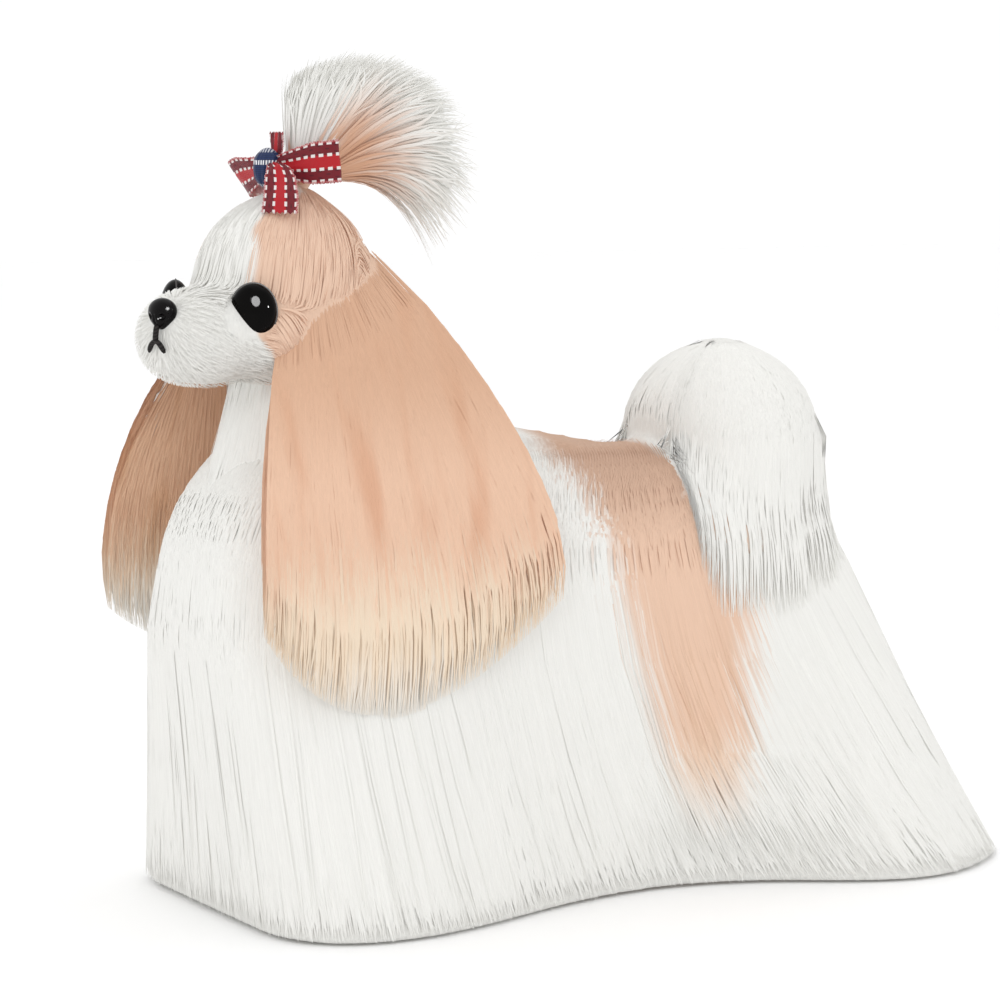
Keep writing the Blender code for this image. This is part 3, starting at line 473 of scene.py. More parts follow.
def tail(angle, v):
    """The tail's hair: angle 0 towards the head, pi/2 to the left; v from the crown to the tip.
    It domes over the tail's root, then hangs outside the coat."""
    angle, v = np.broadcast_arrays(np.asarray(angle, float), np.asarray(v, float))
    along, aside = np.cos(angle), np.sin(angle)
    tip = np.interp(np.abs((angle + math.pi) % (2 * math.pi) - math.pi), *zip(*TAIL_HANG))
    hang_length = np.maximum(TAIL_CENTRE[2] - tip, 0)
    dome_length = TAIL_RADII[2] * math.pi / 2
    share = dome_length / (dome_length + hang_length)
    dome = np.clip(v / share, 0, 1) * np.arccos(np.clip((tip - TAIL_CENTRE[2]) / TAIL_RADII[2], 0, 1))
    hang = np.clip((v - share) / np.maximum(1 - share, 1e-6), 0, 1)
    loose = smooth_step(hang * 2.5)
    station = TAIL_CENTRE[0] + TAIL_RADII[0] * np.sin(dome) * along
    splay = TAIL_SPLAY * np.clip(hang_length / TAIL_SPLAY_LENGTH, 0, 1)
    station = station + splay * np.maximum(along, 0) * loose
    height = TAIL_CENTRE[2] + TAIL_RADII[2] * np.cos(dome) - hang_length * hang
    behind = coat_rear(height) - TAIL_CLEARANCE
    behind = np.where(height < TAIL_CENTRE[2], behind, station)
    station = station + np.minimum(behind - station, 0) * np.clip(-along * 2.5 - 1.5, 0, 1)
    left = TAIL_CENTRE[1] + TAIL_RADII[1] * np.sin(dome) * aside
    side = np.where(aside < 0, -1.0, 1.0)
    least = coat_side(station, height) + TAIL_CLEARANCE
    left = left + side * np.maximum(least - left * side, 0) * np.clip(np.abs(aside) * 4 - 0.6, 0, 1)
    return np.stack([left, -station, height], -1)


def surface_frame(surface, u, v, step=2e-3):
    """(point, way across, outward normal) of a surface, from its differences."""
    point = surface(u, v)
    low, high = np.clip(v - step, 0, 1), np.clip(v + step, 0, 1)
    across = unit(surface(u + step, v) - surface(u - step, v))
    along = unit(surface(u, high) - surface(u, low))
    return point, across, unit(np.cross(along, across))


def even(surface, start, end, level):
    """The surface with its first argument made a share of the run between two angles at that level."""
    angles = np.linspace(start, end, 120)
    steps = np.linalg.norm(np.diff(surface(angles, level), axis=0), axis=1)
    run = np.concatenate([[0], np.cumsum(steps)])
    return lambda u, v: surface(np.interp(u, run / run[-1], angles), v)


def head_distance(points):
    """Distance outside the head's surface, with its balls blended into one form."""
    own = to_head(points)
    balls = [((0, 0, 0), SKULL_RADIUS)]
    for centre, radius in ((MUZZLE_BALL, MUZZLE_RADIUS), (CHEEK_BALL, CHEEK_RADIUS)):
        balls += [(centre, radius), ((centre[0], -centre[1], centre[2]), radius)]
    total = sum(np.exp(-(np.linalg.norm(own - c, axis=-1) - r) / HEAD_BLEND * 2.2) for c, r in balls)
    return -np.log(total) * HEAD_BLEND / 2.2


def head_normal(points, step=4e-4):
    """The head's outward direction near each point."""
    slopes = []
    for axis in np.eye(3) * step:
        slopes.append(head_distance(points + axis) - head_distance(points - axis))
    return unit(np.stack(slopes, -1))


def to_surface(points, lift, steps=5):
    """Moves points along the head's slope until they are as far outside it as told."""
    for _ in range(steps):
        points = points - head_normal(points) * (head_distance(points) - lift)[..., None]
    return points


def mesh_object(name, points, faces, smooth=True):
    mesh = bpy.data.meshes.new(name)
    mesh.from_pydata([tuple(p) for p in points], [], [tuple(int(i) for i in f) for f in faces])
    work = bmesh.new()
    work.from_mesh(mesh)
    bmesh.ops.recalc_face_normals(work, faces=work.faces)
    work.to_mesh(mesh)
    work.free()
    item = bpy.data.objects.new(name, mesh)
    bpy.context.scene.collection.objects.link(item)
    if smooth:
        mesh.shade_smooth()
    return item


def loft(name, rings, closed=False):
    """A solid through rings of points, capped at both ends or closed into a hoop."""
    count, around = len(rings), len(rings[0])
    faces = [] if closed else [tuple(range(around)), tuple(range((count - 1) * around, count * around))]
    for i in range(count if closed else count - 1):
        near, far = i * around, (i + 1) % count * around
        for j in range(around):
            k = (j + 1) % around
            faces.append((near + j, near + k, far + k, far + j))
    return mesh_object(name, np.concatenate(rings), faces)


def ball(name, shape, detail=4):
    """A unit ball of triangles, with its points put where shape says."""
    work = bmesh.new()
    bmesh.ops.create_icosphere(work, subdivisions=detail, radius=1.0)
    points = np.array([v.co for v in work.verts])
    faces = [[v.index for v in f.verts] for f in work.faces]
    work.free()
    return mesh_object(name, shape(points), faces)


def wall(name, outer, inner, closed=False):
    """A closed sheet between two grids of points, guides by places along them."""
    count, places = outer.shape[:2]
    points = np.concatenate([outer.reshape(-1, 3), inner.reshape(-1, 3)])
    back = count * places

    def corner(i, j, side):
        return (i % count) * places + j + side * back

    faces = []
    for i in range(count if closed else count - 1):
        for j in range(places - 1):
            for side in (0, 1):
                low = corner(i, j, side), corner(i + 1, j, side)
                faces.append((*low, corner(i + 1, j + 1, side), corner(i, j + 1, side)))
        for j in (0, places - 1):
            faces.append((corner(i, j, 0), corner(i + 1, j, 0), corner(i + 1, j, 1), corner(i, j, 1)))
    if not closed:
        for i in (0, count - 1):
            for j in range(places - 1):
                faces.append((corner(i, j, 0), corner(i, j + 1, 0), corner(i, j + 1, 1), corner(i, j, 1)))
    return mesh_object(name, points, faces)


def round_ring(station, height, radius, around=24):
    turns = circle(around)
    return np.array([at(station + radius * math.cos(t), radius * math.sin(t), height) for t in turns])


def bar_rings(path, radius, first, second, around):
    """Rings of points round a path, in the plane of two ways across it."""
    turns = circle(around)
    ring = np.cos(turns)[:, None] * first[:, None] + np.sin(turns)[:, None] * second[:, None]
    return list(path[:, None] + np.reshape(radius, (-1, 1, 1)) * ring)


def tube(name, path, radius):
    """A round bar along a path, thinner towards its ends."""
    path = np.array(path, float)
    along = unit(np.gradient(path, axis=0))
    side = unit(np.cross(along, (0.3, 0.9, 0.1)))
    share = np.linspace(-1, 1, len(path))
    size = radius * np.sqrt(1 - 0.75 * share**6)
    return loft(name, bar_rings(path, size, side, np.cross(along, side), 10))


def hoop(name, path, radius):
    """A round bar along a closed path."""
    along = unit(np.roll(path, -1, 0) - np.roll(path, 1, 0))
    out = unit(path - path.mean(0))
    return loft(name, bar_rings(path, radius, out, unit(np.cross(along, out)), 8), closed=True)


def join(name, pieces):
    """One object of several meshes, with what was in them."""
    with bpy.context.temp_override(
        active_object=pieces[0], selected_editable_objects=pieces, selected_objects=pieces, object=pieces[0]
    ):
        bpy.ops.object.join()
    pieces[0].name = pieces[0].data.name = name
    return pieces[0]


def carry(piece, material, slot, *nodes):
    """Paints a piece and fixes it to the figure, for the nodes it stands for."""
    piece.data.materials.clear()
    piece.data.materials.append(material)
    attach(piece, "root")
    if nodes:
        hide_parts(*nodes)


def feed(tree, value, socket):
    """Links a value into a node's socket, or writes it there."""
    if isinstance(value, Value):
        value = value.socket
    if isinstance(value, bpy.types.NodeSocket):
        tree.links.new(value, socket)
    elif socket.type == "RGBA":
        socket.default_value = (*value, 1)
    else:
        socket.default_value = value


class Value:
    """A shader socket in a sum: the operators on it add Math nodes to its tree."""

    def __init__(self, paint, socket):
        self.paint, self.socket = paint, socket

    def math(self, operation, *others):
        sockets = dict(enumerate((self, *others)))
        return Value(self.paint, self.paint.node("Math", {"operation": operation}, sockets))

    def __add__(self, other):
        return self.math("ADD", other)

    __radd__ = __add__

    def __mul__(self, other):
        return self.math("MULTIPLY", other)

    __rmul__ = __mul__

    def __sub__(self, other):
        return self.math("SUBTRACT", other)

    def __rsub__(self, other):
        return (self * -1) + other

    def __pow__(self, other):
        return self.math("POWER", other)

    def __abs__(self):
        return self.math("ABSOLUTE")

    def sine(self):
        return self.math("SINE")

    def wave(self):
        """A sine brought between 0 and 1."""
        return self.sine() * 0.5 + 0.5

    def least(self, other):
        return self.math("MINIMUM", other)

    def most(self, other):
        return self.math("MAXIMUM", other)

    def steps(self, low, high):
        """0 below low, 1 above high and smooth between them, or the other way round."""
        made = {"interpolation_type": "SMOOTHSTEP", "clamp": True}
        low_end, high_end, start, end = (low, high, 0.0, 1.0) if low < high else (high, low, 1.0, 0.0)
        sockets = {"Value": self, "From Min": low_end, "From Max": high_end, "To Min": start, "To Max": end}
        return Value(self.paint, self.paint.node("MapRange", made, sockets))


class Paint:
    """The nodes of one material."""

    def __init__(self, name, roughness, **fixed):
        self.material = bpy.data.materials.new(name)
        self.material.use_nodes = True
        self.tree = self.material.node_tree
        self.shader = self.tree.nodes["Principled BSDF"]
        self.shader.inputs["Roughness"].default_value = roughness
        for socket, value in fixed.items():
            self.shader.inputs[socket.replace("_", " ")].default_value = value

    def node(self, kind, settings=None, sockets=None, output=0):
        """A node of a type, with its settings made first and then its sockets' values or links."""
        made = self.tree.nodes.new("ShaderNode" + kind)
        for key, value in (settings or {}).items():
            setattr(made, key, value)
        for key, value in (sockets or {}).items():
            feed(self.tree, value, made.inputs[key])
        return made.outputs[output]

    def split(self, vector):
        """The three parts of a vector."""
        first = self.node("SeparateXYZ", None, {0: vector})
        return (Value(self, part) for part in first.node.outputs)

    def place(self):
        """(station, left, height) of the shaded point."""
        x, y, z = self.split(self.node("TexCoord", output="Object"))
        return y * -1, x, z

    def attribute(self, name):
        return Value(self, self.node("Attribute", {"attribute_name": name}, output="Fac"))

    def noise(self, vector, scale, detail=2.0):
        return Value(self, self.node("TexNoise", None, {"Vector": vector, "Scale": scale, "Detail": detail}))

    def vector(self, x, y, z):
        return self.node("CombineXYZ", None, {0: x, 1: y, 2: z})

    def grain(self, scale, detail=2.0):
        """Noise at the shaded point, the same in each direction."""
        return self.noise(self.vector(*self.place()), scale, detail)

    def mix(self, share, first, second):
        """A colour between two others."""
        return self.node("Mix", {"data_type": "RGBA"}, {0: share, 6: first, 7: second}, output=2)

    def shade(self, share, colour):
        """A colour made lighter or darker by a share about 1."""
        return self.node("VectorMath", {"operation": "SCALE"}, {0: colour, 3: share})

    def finish(self, colour, height=None, strength=0.3, distance=0.0003, through=0.0):
        """Ends the material; through is a painted glow: the share of its own colour that it emits, standing
        for light that comes through thin pile and lifting its shade.
        """
        self.tree.links.new(colour, self.shader.inputs["Base Color"])
        if through:
            self.tree.links.new(colour, self.shader.inputs["Emission Color"])
            self.shader.inputs["Emission Strength"].default_value = through
        if height is not None:
            sockets = {"Height": height, "Strength": strength, "Distance": distance}
            bumped = self.node("Bump", None, sockets, output="Normal")
            self.tree.links.new(bumped, self.shader.inputs["Normal"])
        return self.material


def fur(name, markings):
    """The material of a pile with markings, streaked along each strand."""
    paint = Paint(name, roughness=0.62, Specular_IOR_Level=0.25)
    tone, along, across = (paint.attribute(key) for key in ("tone", "along", "across"))
    streak = paint.noise(paint.vector(across * 3.4, tone * 90, along * 3.0), 1.0)
    colour = markings(paint, *paint.place(), tone, bpy.context.scene.dog_finish)
    colour = paint.shade(0.85 + tone * 0.06 + streak * 0.14, colour)
    # A painted glow of the pile's own colour lifts the shade between strands.
    return paint.finish(colour, through=PILE_GLOW)


def saddle(paint, station, left, height, tone, finish):
    """The peach patch over the back, ragged at its edges and fading towards the hem."""
    strand = (tone - 0.5) * 0.016
    front = station - (0.013 - (0.168 - height) * 0.31) + strand
    rear = (-0.059 + (0.107 - height) * 0.07) - station + strand
    inside = front.steps(0.009, -0.010) * rear.steps(0.009, -0.010)
    fade = (height + strand).steps(0.016, 0.056)
    streaks = (tone * 23.0).sine().steps(0.35, 0.95) * height.steps(0.12, 0.08)
    body = paint.mix(streaks * 0.6, finish.peach, finish.tan)
    body = paint.mix(height.steps(0.130, 0.170) * 0.7, body, SADDLE_TOP)
    body = paint.mix(height.steps(0.07, 0.04) * 0.6, body, SADDLE_HEM)
    return paint.mix(inside * fade * 0.92, finish.white, body)


def ear_marks(side):
    """Peach to the ear's lower part, then cream to white tips."""

    def markings(paint, station, left, height, tone, finish):
        deep = paint.noise(paint.vector(station * 90, left * 20, height * 14), 1.0)
        # Deep patches at random; on the far ear they are darker, painted shade.
        colour = paint.mix(deep.steps(0.46, 0.74), finish.peach, EAR_DEEP_AND_FAR_SHADE[side])
        # Painted shade: the far ear is mixed towards tan.
        if side == "right":
            colour = paint.mix(0.30, colour, FAR_EAR_SHADE_TAN)
        colour = paint.mix(height.steps(0.165, 0.215) * 0.8, colour, EAR_ROOT)
        ragged = height + (tone - 0.5) * 0.024
        colour = paint.mix(ragged.steps(0.152, 0.112), colour, EAR_CREAM)
        low, high = EAR_WHITE_HEIGHTS[side]
        return paint.mix(ragged.steps(high, low), colour, finish.white)

    return markings


def head_marks(paint, station, left, height, tone, finish):
    """White muzzle and blaze between peach sides of the head."""
    ahead, aside = station - SKULL_CENTRE[0], left - SKULL_CENTRE[1]
    forward = ahead * HEAD_COS + aside * HEAD_SIN
    side = abs(aside * HEAD_COS - ahead * HEAD_SIN + 0.0050)
    up = height - SKULL_CENTRE[2]
    ragged = (tone - 0.5) * 0.003
    blaze = side - (0.0172 - (up - 0.005).most(0.0) * 0.11) + ragged
    patch = blaze.steps(-0.001, 0.0015)
    muzzle = forward - (0.0333 - up * 0.30) + ragged
    cheek = up + 0.0175 + (0.0375 - forward) * 1.5 + ragged
    patch = patch * muzzle.steps(0.001, -0.002) * cheek.steps(-0.0015, 0.0015)
    patch = patch.most((forward + ragged).steps(0.001, -0.004) * up.steps(-0.01, 0.01))
    return paint.mix(patch * 0.9, finish.white, finish.peach)


def no_marks(paint, station, left, height, tone, finish):
    return paint.mix(0.0, finish.white, finish.white)


def plume_marks(paint, station, left, height, tone, finish):
    """White with a golden core where the topknot leaves the tie and at its back."""
    behind, up = TIE[0] - station, height - TIE[2]
    away = (behind * behind + up * up) ** 0.5
    strand = (tone - 0.5) * 0.016
    core = (away + strand).steps(0.054, 0.020) * (behind - up * 0.5 + strand).steps(-0.006, 0.004)
    share = core.most((away + strand).steps(0.012, 0.006))
    return paint.mix(share, finish.white, PLUME_GOLD)


def strand_mesh(name, spine, across, normal, width, tone, patch, roll, shares=None):
    """Closed three-sided strands along their spines, with their places on the skin's unwrap.

    spine, across and normal are (strands, rings, 3); width is (strands, rings); patch is (strands, 2)."""
    count, rings = spine.shape[:2]
    cos_roll, sin_roll = np.cos(roll)[:, None, None], np.sin(roll)[:, None, None]
    side = across * cos_roll + normal * sin_roll
    lift = normal * cos_roll - across * sin_roll
    half = width[..., None] / 2
    points = np.stack([spine - side * half, spine + lift * half * STRAND_CROWN, spine + side * half], 2)
    shade = np.stack([lift - side * SHEEN, lift, lift + side * SHEEN], 2)
    along = np.gradient(spine, axis=1)
    turned = np.einsum("nij,nij->n", np.cross(points[:, :, 2] - points[:, :, 0], lift), along) > 0
    points[turned] = points[turned][:, :, ::-1]
    shade[turned] = shade[turned][:, :, ::-1]
    start = np.arange(count) * rings * 3
    low = start[:, None, None] + (np.arange(rings - 1) * 3)[None, :, None]
    sides = ((0, 1), (1, 2), (2, 0))
    quads = [np.concatenate([low + a, low + b, low + 3 + b, low + 3 + a], 2) for a, b in sides]
    quads = np.stack(quads, 2).reshape(-1, 4)
    last = start + (rings - 1) * 3
    root_caps, tip_caps = np.stack([start + 2, start + 1, start], 1), np.stack([last, last + 1, last + 2], 1)
    corners = np.concatenate([quads.ravel(), root_caps.ravel(), tip_caps.ravel()]).astype(np.int32)
    starts = np.concatenate([np.arange(len(quads)) * 4, quads.size + np.arange(count * 2) * 3])
    mesh = bpy.data.meshes.new(name)
    mesh.vertices.add(count * rings * 3)
    mesh.vertices.foreach_set("co", points.astype(np.float32).ravel())
    mesh.loops.add(len(corners))
    mesh.loops.foreach_set("vertex_index", corners)
    mesh.polygons.add(len(starts))
    mesh.polygons.foreach_set("loop_start", starts.astype(np.int32))
    mesh.update(calc_edges=True)
    mesh.validate()
    mesh.shade_smooth()
    facing = unit(shade).reshape(-1, 3)[corners]
    underside = np.arange(quads.size) // 4 % 3 == 2
    facing[: quads.size] *= np.where(underside, -1.0, 1.0)[:, None]
    mesh.normals_split_custom_set(facing.astype(np.float32))
    shares = np.linspace(0, 1, rings) if shares is None else shares
    share = np.broadcast_to(shares[None, :, None], (count, rings, 3))
    wide = np.broadcast_to(np.array([-1.0, 0.0, 1.0]), (count, rings, 3))
    tones = np.broadcast_to(tone[:, None, None], (count, rings, 3))
    for key, values in (("tone", tones), ("along", share), ("across", wide)):
        layer = mesh.attributes.new(key, "FLOAT", "POINT")
        layer.data.foreach_set("value", values.astype(np.float32).ravel())
    u = patch[:, None, None, 0] + wide * PATCH_REACH
    v = patch[:, None, None, 1] + (share * 2 - 1) * PATCH_REACH
    places = np.stack([u, v], -1).reshape(-1, 2).astype(np.float32)
    uv = mesh.uv_layers.new(name="OFBake")
    uv.data.foreach_set("uv", places[corners].ravel())
    item = bpy.data.objects.new(name, mesh)
    bpy.context.scene.collection.objects.link(item)
    return item


def comb(
    name,
    surface,
    rng,
    roots,
    tips,
    width,
    profile,
    look=SMOOTH,
    clumps=24,
    sway=0.02,
    flip=1,
    rings=6,
    early=1.0,
):
    """Strands combed along a surface's guides.

    roots is (places across, places along) of their roots and tips the places along of their ends. Rings are
    closer together near the root where early is over 1. profile gives the depth at the root, the share along
    where a strand has come up, and its depths there and at the tip; look varies each strand's own."""
    u0, v0 = roots
    count = len(u0)
    share = np.linspace(0, 1, rings)[None] ** early
    v = v0[:, None] + (tips - v0)[:, None] * share
    centre = (np.floor(u0 * clumps + rng.normal(0, 0.3, count)) + 0.5) / clumps
    drawn = u0[:, None] + (centre - u0)[:, None] * look["clump"] * share**1.6
    phase = rng.uniform(0, 2 * math.pi, count)[:, None]
    wave = rng.uniform(1.5, 4.0, count)[:, None]
    u = drawn + sway * rng.normal(0, 1, count)[:, None] * np.sin(phase + wave * share) * share
    point, across, normal = surface_frame(surface, np.clip(u, 0.0, 1.0), v)
    normal = normal * flip
    deep, risen, middle, end = profile
    rise = smooth_step(share / risen)
    sink = np.clip((share - 0.55) / 0.45, 0, 1) ** 1.5
    depth = deep + (middle - deep) * rise + (end - middle) * sink
    depth = depth + rng.uniform(-1, 1, count)[:, None] * look["loose"] * (0.3 + 0.7 * share)
    wild = (rng.random(count) < look["wild"])[:, None]
    depth = np.where(wild, depth - rng.uniform(0.4, 1.0, count)[:, None] * look["lift"] * share, depth)
    spine = point - normal * depth[..., None]
    taper = np.minimum(np.minimum(0.2 + share * 6, 1), 0.08 + 0.92 * ((1 - share) / 0.34))
    size = width * rng.uniform(0.75, 1.25, count)[:, None] * taper
    tone = strand_tones(rng, count)
    roll = rng.normal(0, look["roll"], count)
    return strand_mesh(name, spine, across, normal, size, tone, on_patch(u0, v0), roll, share[0])


def strand_tones(rng, count):
    """Each strand's own shade, from 0 to 1."""
    return np.clip(rng.normal(0.5, 0.2, count), 0, 1)


def on_patch(u, v):
    """Places from 0 to 1 on the unwrap, kept off its edges."""
    return 0.01 + 0.98 * np.stack([u, v], 1)


def scattered(rng, count, start, end, low, high):
    """Evenly spread roots, jittered, over a patch of a surface."""
    u = (np.arange(count) * 0.6180339887 + rng.random()) % 1
    v = (np.arange(count) + rng.random(count)) / count
    return start + (end - start) * u, low + (high - low) * v


def ragged_tips(rng, roots, runs, long_share, fray, power=1.0):
    """Where strands end: after a run from their roots or, for a share of them, near the surface's end."""
    count = len(roots)
    tips = np.clip(roots + rng.uniform(*runs, count), 0, 1.0)
    long_ones = rng.random(count) < long_share
    return np.where(long_ones, 1.0 - fray * rng.random(count) ** power, tips)


def coat_section(side, start, end, place, seed):
    """One half of a section of the coat: long strands from the parting and shorter ones among them."""
    sizes = bpy.context.scene.dog_sizes
    rng = np.random.default_rng(seed)
    flip = 1 if side == "left" else -1
    section = even(coat, flip * (start - SECTION_OVERLAP), flip * (end + SECTION_OVERLAP), SECTION_LEVEL)
    u, v, tips = [], [], []
    for share, low, high, least, spread in COAT_LAYERS:
        number = round(sizes.coat_strands * share)
        across, down = scattered(rng, number, 0, 1, low, high)
        reach = rng.uniform(least, least + spread, number)
        lowest = COAT_HIGHEST_TIP + (COAT_LOWEST_TIP - COAT_HIGHEST_TIP) * rng.random(number) ** 0.7
        u.append(across)
        v.append(down)
        tips.append(np.minimum(down + reach, lowest))
    order = rng.permutation(sum(len(part) for part in u))
    u, v, tips = (np.concatenate(part)[order] for part in (u, v, tips))
    is_long = (order < round(sizes.coat_strands * COAT_LAYERS[0][0]))[:, None]
    profile = (np.where(is_long, *COAT_ROOT_DEPTHS), *COAT_PROFILE)
    run = np.linalg.norm(section(1.0, SECTION_LEVEL) - section(0.0, SECTION_LEVEL))
    clumps = max(int(run / CLUMP_WIDTH), 4)
    name, width = f"hair_{place}_{side}", sizes.hair_width * 1.1
    return comb(name, section, rng, (u, v), tips, width, profile, SMOOTH, clumps, 0.012, flip, 7, 1.7)


def mane(angle, v):
    """The hair over the neck, from under the head to the top of the coat. Angle 0 is the throat."""
    angle, v = np.broadcast_arrays(np.asarray(angle, float), np.asarray(v, float))
    along, aside = np.cos(angle), np.sin(angle)
    station, reach, height = MANE_TOP
    top = np.stack([MANE_HALF_WIDTH * aside, -(station + reach * along), height - MANE_DROP * along], -1)
    station, reach, height = MANE_FOOT
    station = station + reach * along
    height = height + MANE_BACK_RISE * np.maximum(-along, 0) ** 2
    left = aside * (coat_side(station, height) + MANE_LIFT)
    foot = np.stack([left, -station, height], -1)
    fan = (v**1.3)[..., None]
    return top + (foot - top) * np.concatenate([fan, fan, v[..., None]], -1)


def shell(name, surface, u, v, depths, closed=False, flip=1):
    """A closed sheet between two depths under a surface."""
    around, down = np.meshgrid(u, v, indexing="ij")
    point, _, normal = surface_frame(surface, around, down)
    outer, inner = (point - normal * flip * depth for depth in depths)
    return wall(name, outer, inner, closed)


def barrel_rings():
    """Rings of the body's barrel, from its front to its rear."""
    rings = []
    for share in np.sin(np.linspace(-0.47, 0.47, 25) * math.pi):
        station = (BARREL_FRONT + BARREL_REAR) / 2 + share * (BARREL_FRONT - BARREL_REAR) / 2
        size = math.sqrt(max(1 - share * share, 0.004)) ** 0.8
        top, bottom = parting_height(station) - BARREL_SINK, BELLY_HEIGHT
        middle, high, wide = (top + bottom) / 2, (top - bottom) / 2 * size, BARREL_HALF_WIDTH * size
        ring = [at(station, wide * math.cos(t), middle + high * math.sin(t)) for t in circle(32)]
        rings.append(np.array(ring))
    return rings


def leg_rings(station, sign):
    """Rings of one leg, from its sole up."""
    rings, turn = [], circle(20)
    for height, radius, reach in LEG_RINGS:
        size = LEG_RADIUS * radius - 0.001
        ahead = station + size * np.cos(turn) + PAW_REACH * reach * np.maximum(np.cos(turn), 0)
        up = np.full(turn.shape, max(height, SKIN_FOOT))
        rings.append(np.stack([sign * LEG_SIDE + size * np.sin(turn), -ahead, up], 1))
    return rings


def skin_pieces():
    """The closed forms that the stuffed skin is cast from, each under its own pile."""
    depth = bpy.context.scene.dog_sizes.coat_depth
    made = [loft("barrel", barrel_rings())]
    curtain = (depth, depth + LINING_THICK)
    made.append(shell("lining", coat, circle(120), np.linspace(0.05, 0.997, 32), curtain, closed=True))
    rings = []
    for level in np.linspace(0.22, 0.006, 10):
        point, _, normal = surface_frame(coat, circle(120), np.full(120, level))
        rings.append(point - normal * (depth * 0.7))
    made.append(loft("back", rings))
    rings = []
    for share in np.linspace(0, 1, 7):
        station, height = (a + (b - a) * share for a, b in zip(NECK_FOOT, NECK_TOP))
        rings.append(round_ring(station, height, NECK_RADIUS * (1.2 - 0.2 * share)))
    made.append(loft("neck_form", rings))
    made.append(ball("head_form", lambda rays: head_points(rays, -HEAD_SINK), detail=5))
    for station in LEG_STATIONS:
        for sign in (1, -1):
            made.append(loft("leg_form", leg_rings(station, sign)))
    for side, flip in (("left", 1), ("right", -1)):
        u, v = np.linspace(0.03, 0.97, 30), np.linspace(0.0, 0.78, 28)
        made.append(shell(f"ear_core_{side}", ear(side), u, v, EAR_CORE_DEPTHS, flip=flip))
    middle, radii = at(*TAIL_CENTRE), np.array(TAIL_RADII)[[1, 0, 2]]
    around, v = np.meshgrid(circle(60), np.linspace(0.05, 0.82, 20), indexing="ij")
    outer = middle + (tail(around, v) - middle) * TAIL_CORE
    made.append(wall("tail_core", outer, middle + (outer - middle) * TAIL_HOLLOW, closed=True))
    cap = middle + (0, 0, TAIL_RADII[2] - CROWN_CAP_SINK)
    made.append(ball("crown_cap", lambda points: points * CROWN_CAP_RADII + cap))
    made.append(ball("crown", lambda points: points * radii * TAIL_CROWN + middle))
    (station, foot), radius = TAIL_STALK
    rings = []
    for share in (0.0, 0.5, 1.0):
        ahead, up = station + (TAIL_CENTRE[0] - station) * share, foot + (TAIL_CENTRE[2] - foot) * share
        rings.append(round_ring(ahead, up, radius))
    made.append(loft("stalk", rings))
    across, aside = 0.5 + 0.40 * np.cos(circle(24)), 0.8 * np.sin(circle(24))
    rings = [plume(across, aside, v) for v in np.linspace(0, 0.50, 9)]
    made.append(loft("bundle", [rings[0] - (0, 0, 0.008), *rings]))
    return made


def head_points(rays, lift):
    """Where rays from inside the head leave its surface."""
    centre = from_head(HEAD_MIDDLE)
    reach = np.full(len(rays), 0.11)
    for _ in range(70):
        reach -= 0.7 * (head_distance(centre + rays * reach[:, None]) - lift)
    return centre + rays * reach[:, None]


def evaluated_copy(item):
    """The item's mesh with its modifiers applied, and the modifiers gone."""
    graph = bpy.context.evaluated_depsgraph_get()
    mesh = bpy.data.meshes.new_from_object(item.evaluated_get(graph))
    item.modifiers.clear()
    old = item.data
    item.data = mesh
    bpy.data.meshes.remove(old)
    return item


def skin_marks(paint, station, left, height, tone, finish):
    """The skin's colours are those of the pile that grows from it."""
    coat_colour = saddle(paint, station, left, height, tone, finish)
    side = abs(left)
    ear_zone = side.steps(0.052, 0.062) * station.steps(0.028, 0.040) * height.steps(0.088, 0.108)
    ear_colour = paint.mix(height.steps(0.138, 0.108), finish.peach, finish.white)
    colour = paint.mix(ear_zone, coat_colour, ear_colour)
    head_zone = height.steps(0.212, 0.218) * station.steps(0.080, 0.086) * side.steps(0.046, 0.040)
    colour = paint.mix(head_zone, colour, head_marks(paint, station, left, height, tone, finish))
    tail_zone = station.steps(-0.030, -0.036) * height.steps(0.150, 0.170)
    return paint.mix(tail_zone, colour, finish.white)


class DOG_OT_skin(bpy.types.Operator):
    """The stuffed skin under the pile: body, curtain of the coat, neck, head, legs, ears and tail."""

    bl_idname = "dog.skin"
    bl_label = "Skin"

    def execute(self, context):
        skin = join("skin", skin_pieces())
        cast = skin.modifiers.new("cast", "REMESH")
        cast.mode = "VOXEL"
        cast.voxel_size = context.scene.dog_sizes.voxel
        cast.use_smooth_shade = True
        soften = skin.modifiers.new("soften", "SMOOTH")
        soften.iterations, soften.factor = 2, 0.5
        skin = evaluated_copy(skin)
        for vertex in skin.data.vertices:
            vertex.co.z = max(vertex.co.z, SKIN_FOOT)
        paint = Paint("plush_backing", roughness=0.75, Specular_IOR_Level=0.2)
        station, left, height = paint.place()
        fibre = paint.noise(paint.vector(station * 900, left * 900, height * 260), 1.0, 3.0)
        tone = fibre * 0.6 + 0.2
        colour = skin_marks(paint, station, left, height, tone, context.scene.dog_finish)
        colour = paint.shade(fibre * 0.18 + 0.80, colour)
        # The skin also glows faintly in its own colour: painted glow under the pile.
        plush = paint.finish(colour, fibre, strength=0.5, distance=0.0006, through=PILE_GLOW)
        carry(skin, plush, "white_pile", *SKIN_NODES)
        return {"FINISHED"}


class DOG_OT_coat(bpy.types.Operator):
    """The floor-length coat, in six pieces from the chest to the rump."""

    bl_idname = "dog.coat"
    bl_label = "Coat"

    def execute(self, context):
        pile = fur("coat_pile", saddle)
        for k, (place, start, end) in enumerate(COAT_SECTIONS):
            for side in ("left", "right"):
                hair = coat_section(side, start, end, place, 100 + k * 2 + (side == "right"))
                carry(hair, pile, "white_pile", f"{place}_{side}")
        return {"FINISHED"}


